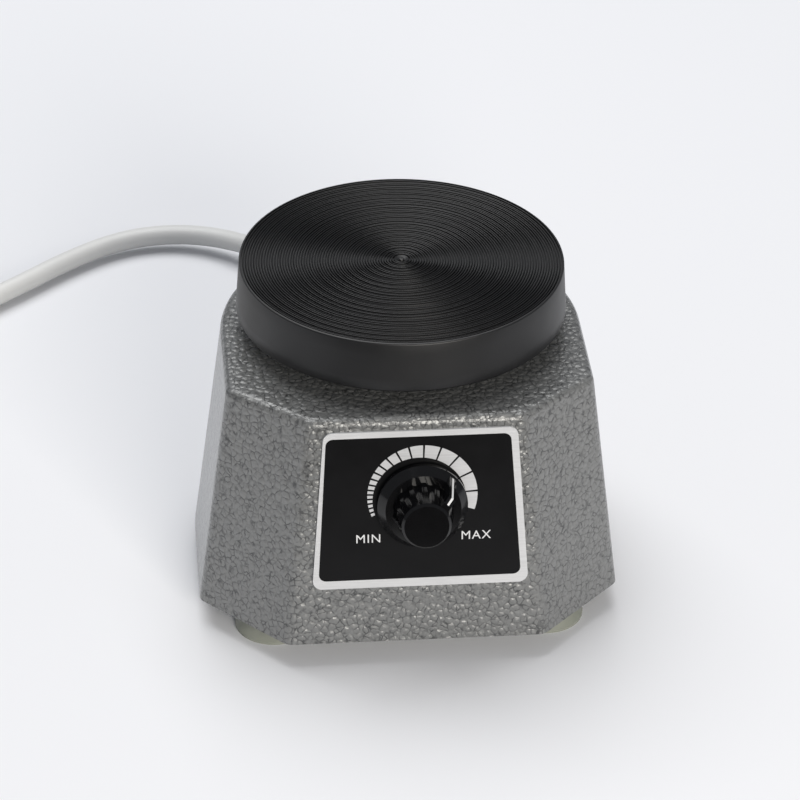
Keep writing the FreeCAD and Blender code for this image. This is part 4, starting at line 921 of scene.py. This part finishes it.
def plug_ribs():
    """Bars across the plug's upper face, side by side round the middle of its body."""
    axis = Vector((coil_leave.x, coil_leave.y, 0)).normalized()
    plug_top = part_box("mains_plug")[1][2] / MM
    square = Matrix.Rotation(math.atan2(axis.y, axis.x) - math.pi / 2, 4, "Z")
    sized = Matrix.Diagonal((*(Vector(RIB_SIZE) * MM), 1.0))
    form = bmesh.new()
    for number in range(RIB_COUNT):
        spot = lead_end + axis * (PLUG_RELIEF + PLUG_BODY / 2 + (number - (RIB_COUNT - 1) / 2) * RIB_PITCH)
        spot.z = plug_top + RIB_SIZE[2] / 2 - RIB_SUNK
        bmesh.ops.create_cube(form, size=1.0, matrix=Matrix.Translation(spot * MM) @ square @ sized)
    bmesh.ops.bevel(form, geom=form.edges[:], offset=RIB_SOFT * MM, segments=3, affect="EDGES")
    return mesh_of(form, "plug_ribs")


ribs = finish_piece("plug_ribs", plug_ribs(), "housing", lead_sheath)
print("plug ribs:", RIB_COUNT)

# %% [markdown]
# ## What is inside and underneath
# The base plate, magnet and control board only show from below or through the gap under the table, but each
# still gets the finish of what it is made of, so that any view of the part holds up. One recipe for metals
# and one for plastics take their colours and gloss as arguments, which is enough for pieces seen so little.

# %% Metals and wire
# Plated grain and winding wire are finer than this; both are drawn coarser so that they show
METAL_GRAIN_MM = 0.7
WIRE_MM = 0.6
WIRE_RISE_MM = 0.2


def worked_metal(name, dark, light, roughness, grain_mm=METAL_GRAIN_MM):
    """A metal with a fine drawn grain and slightly uneven gloss."""
    material, tree, shader, place = start_finish(name, Metallic=1.0)
    grain = add(tree, "ShaderNodeTexNoise", {"Vector": place, "Scale": per_metre(grain_mm), "Detail": 4.0})
    colour = add(tree, "ShaderNodeMix", {0: grain.outputs["Fac"], 6: paint(dark), 7: paint(light)},
                 data_type="RGBA")
    tree.links.new(colour.outputs[2], shader.inputs["Base Color"])
    gloss = add(tree, "ShaderNodeMapRange", {"Value": grain.outputs["Fac"], "To Min": roughness - 0.08,
                                             "To Max": roughness + 0.1})
    tree.links.new(gloss.outputs["Result"], shader.inputs["Roughness"])
    return material


def wound_copper():
    """Enamelled copper wire in neat layers: warm and bright, with a fine band for every wire."""
    material, tree, shader, place = start_finish("enamelled_copper_wire", Roughness=0.3, Metallic=1.0)
    wires = add(tree, "ShaderNodeTexWave", {"Vector": place, "Scale": bands_per_metre(WIRE_MM),
                                            "Distortion": 0.4}, bands_direction="Z")
    colour = add(tree, "ShaderNodeMix", {0: wires.outputs["Fac"], 6: paint("#6e3413"), 7: paint("#c0703a")},
                 data_type="RGBA")
    tree.links.new(colour.outputs[2], shader.inputs["Base Color"])
    bump = add(tree, "ShaderNodeBump", {"Strength": 0.5, "Distance": WIRE_RISE_MM * MM,
                                        "Height": wires.outputs["Fac"]})
    tree.links.new(bump.outputs["Normal"], shader.inputs["Normal"])
    return material


wear(worked_metal("zinc_plated_steel", "#8f9294", "#b9bcbe", 0.34), "base_plate", "base_screws",
     "core_brackets", "core_bolts", "bracket_screws", "spring_posts", "post_screws", "spring_clamps",
     "spring_screws", "board_screws", "table_screw", "armature_screws")
wear(worked_metal("nickel_plated_brass", "#b3b1aa", "#d3d1ca", 0.26), "potentiometer", "pot_washer",
     "pot_nut", "board_standoffs", "plug_pins", "drive_stem", "control_shaft")
wear(worked_metal("varnished_core_iron", "#3a3a3c", "#565658", 0.5, 0.5), "magnet_core", "armature")
wear(worked_metal("sand_cast_aluminium", "#8d8e8f", "#adaeaf", 0.5, 1.2), "table_plate")
wear(wound_copper(), "coil_winding")
print("wire:", WIRE_MM, "mm")

# %% Plastics
# A spark-eroded mould has pits of a few hundredths of a millimetre; they are drawn coarser to show
SPARK_MM = 0.9


def moulded_plastic(name, dark, light, roughness):
    """Injection-moulded plastic with a spark-eroded texture."""
    material, tree, shader, place = start_finish(name, Roughness=roughness, IOR=1.5)
    spark = add(tree, "ShaderNodeTexNoise", {"Vector": place, "Scale": per_metre(SPARK_MM), "Detail": 3.0})
    colour = add(tree, "ShaderNodeMix", {0: spark.outputs["Fac"], 6: paint(dark), 7: paint(light)},
                 data_type="RGBA")
    tree.links.new(colour.outputs[2], shader.inputs["Base Color"])
    bump = add(tree, "ShaderNodeBump", {"Strength": 0.12, "Distance": FINE_RISE,
                                        "Height": spark.outputs["Fac"]})
    tree.links.new(bump.outputs["Normal"], shader.inputs["Normal"])
    return material


wear(moulded_plastic("black_nylon", "#141415", "#1f1f21", 0.45), "coil_bobbin", "triac")
wear(moulded_plastic("green_board_laminate", "#1d5230", "#2a6a40", 0.4), "control_board")
wear(moulded_plastic("red_capacitor_lacquer", "#8c2118", "#a53024", 0.3), "film_capacitor")
wear(moulded_plastic("green_terminal_nylon", "#2b6b40", "#377f4e", 0.42), "terminal_block")
print("finishes:", len(bpy.data.materials))

# %% [markdown]
# ## The leaf spring
# The table rides on a flat steel spring, clamped to the housing at both ends and moved at its middle. A stiff
# copy would cut into the bar below it or the stem above it. Here the spring is made again in two halves, each
# cut across in many places between its clamp and the end of the bar.

# %% Leaf spring
SPRING_CLAMP = 36.0
SPRING_BAR = 28.5
SPRING_CUTS = 12
WELD_MM = 0.001


def cut_across(form, reach, facing, **options):
    """Cut a form by an upright plane at a reach along X, in metres."""
    whole = form.verts[:] + form.edges[:] + form.faces[:]
    return bmesh.ops.bisect_plane(form, geom=whole, plane_co=(reach, 0, 0), plane_no=(facing, 0, 0),
                                  **options)


def spring_half(name, side, material):
    """Half of the spring, left (-1) or right (1), cut across many times between its clamp and the end of the
    bar.
    """
    form = bmesh.new()
    form.from_mesh(nodes["leaf_spring"].data)
    form.transform(nodes["leaf_spring"].matrix_world)
    bmesh.ops.remove_doubles(form, verts=form.verts, dist=WELD_MM * MM)
    for step in range(SPRING_CUTS + 1):
        cut_across(form, side * (SPRING_BAR + (SPRING_CLAMP - SPRING_BAR) * step / SPRING_CUTS) * MM, 1)
    halved = cut_across(form, 0, side, clear_inner=True)
    rim = [part for part in halved["geom_cut"] if isinstance(part, bmesh.types.BMEdge)]
    bmesh.ops.holes_fill(form, edges=rim)
    half = dress(name, mesh_of(form, name), material)
    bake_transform(half)
    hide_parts("leaf_spring")
    return half


spring_blue = worked_metal("blued_spring_steel", "#3c4350", "#5d6675", 0.32)
halves = [spring_half("leaf_spring_left", -1, spring_blue), spring_half("leaf_spring_right", 1, spring_blue)]
print("spring halves:", [len(half.data.polygons) for half in halves], "faces")

# %% [markdown]
# ## Bring the scene up to date

bpy.context.view_layer.update()
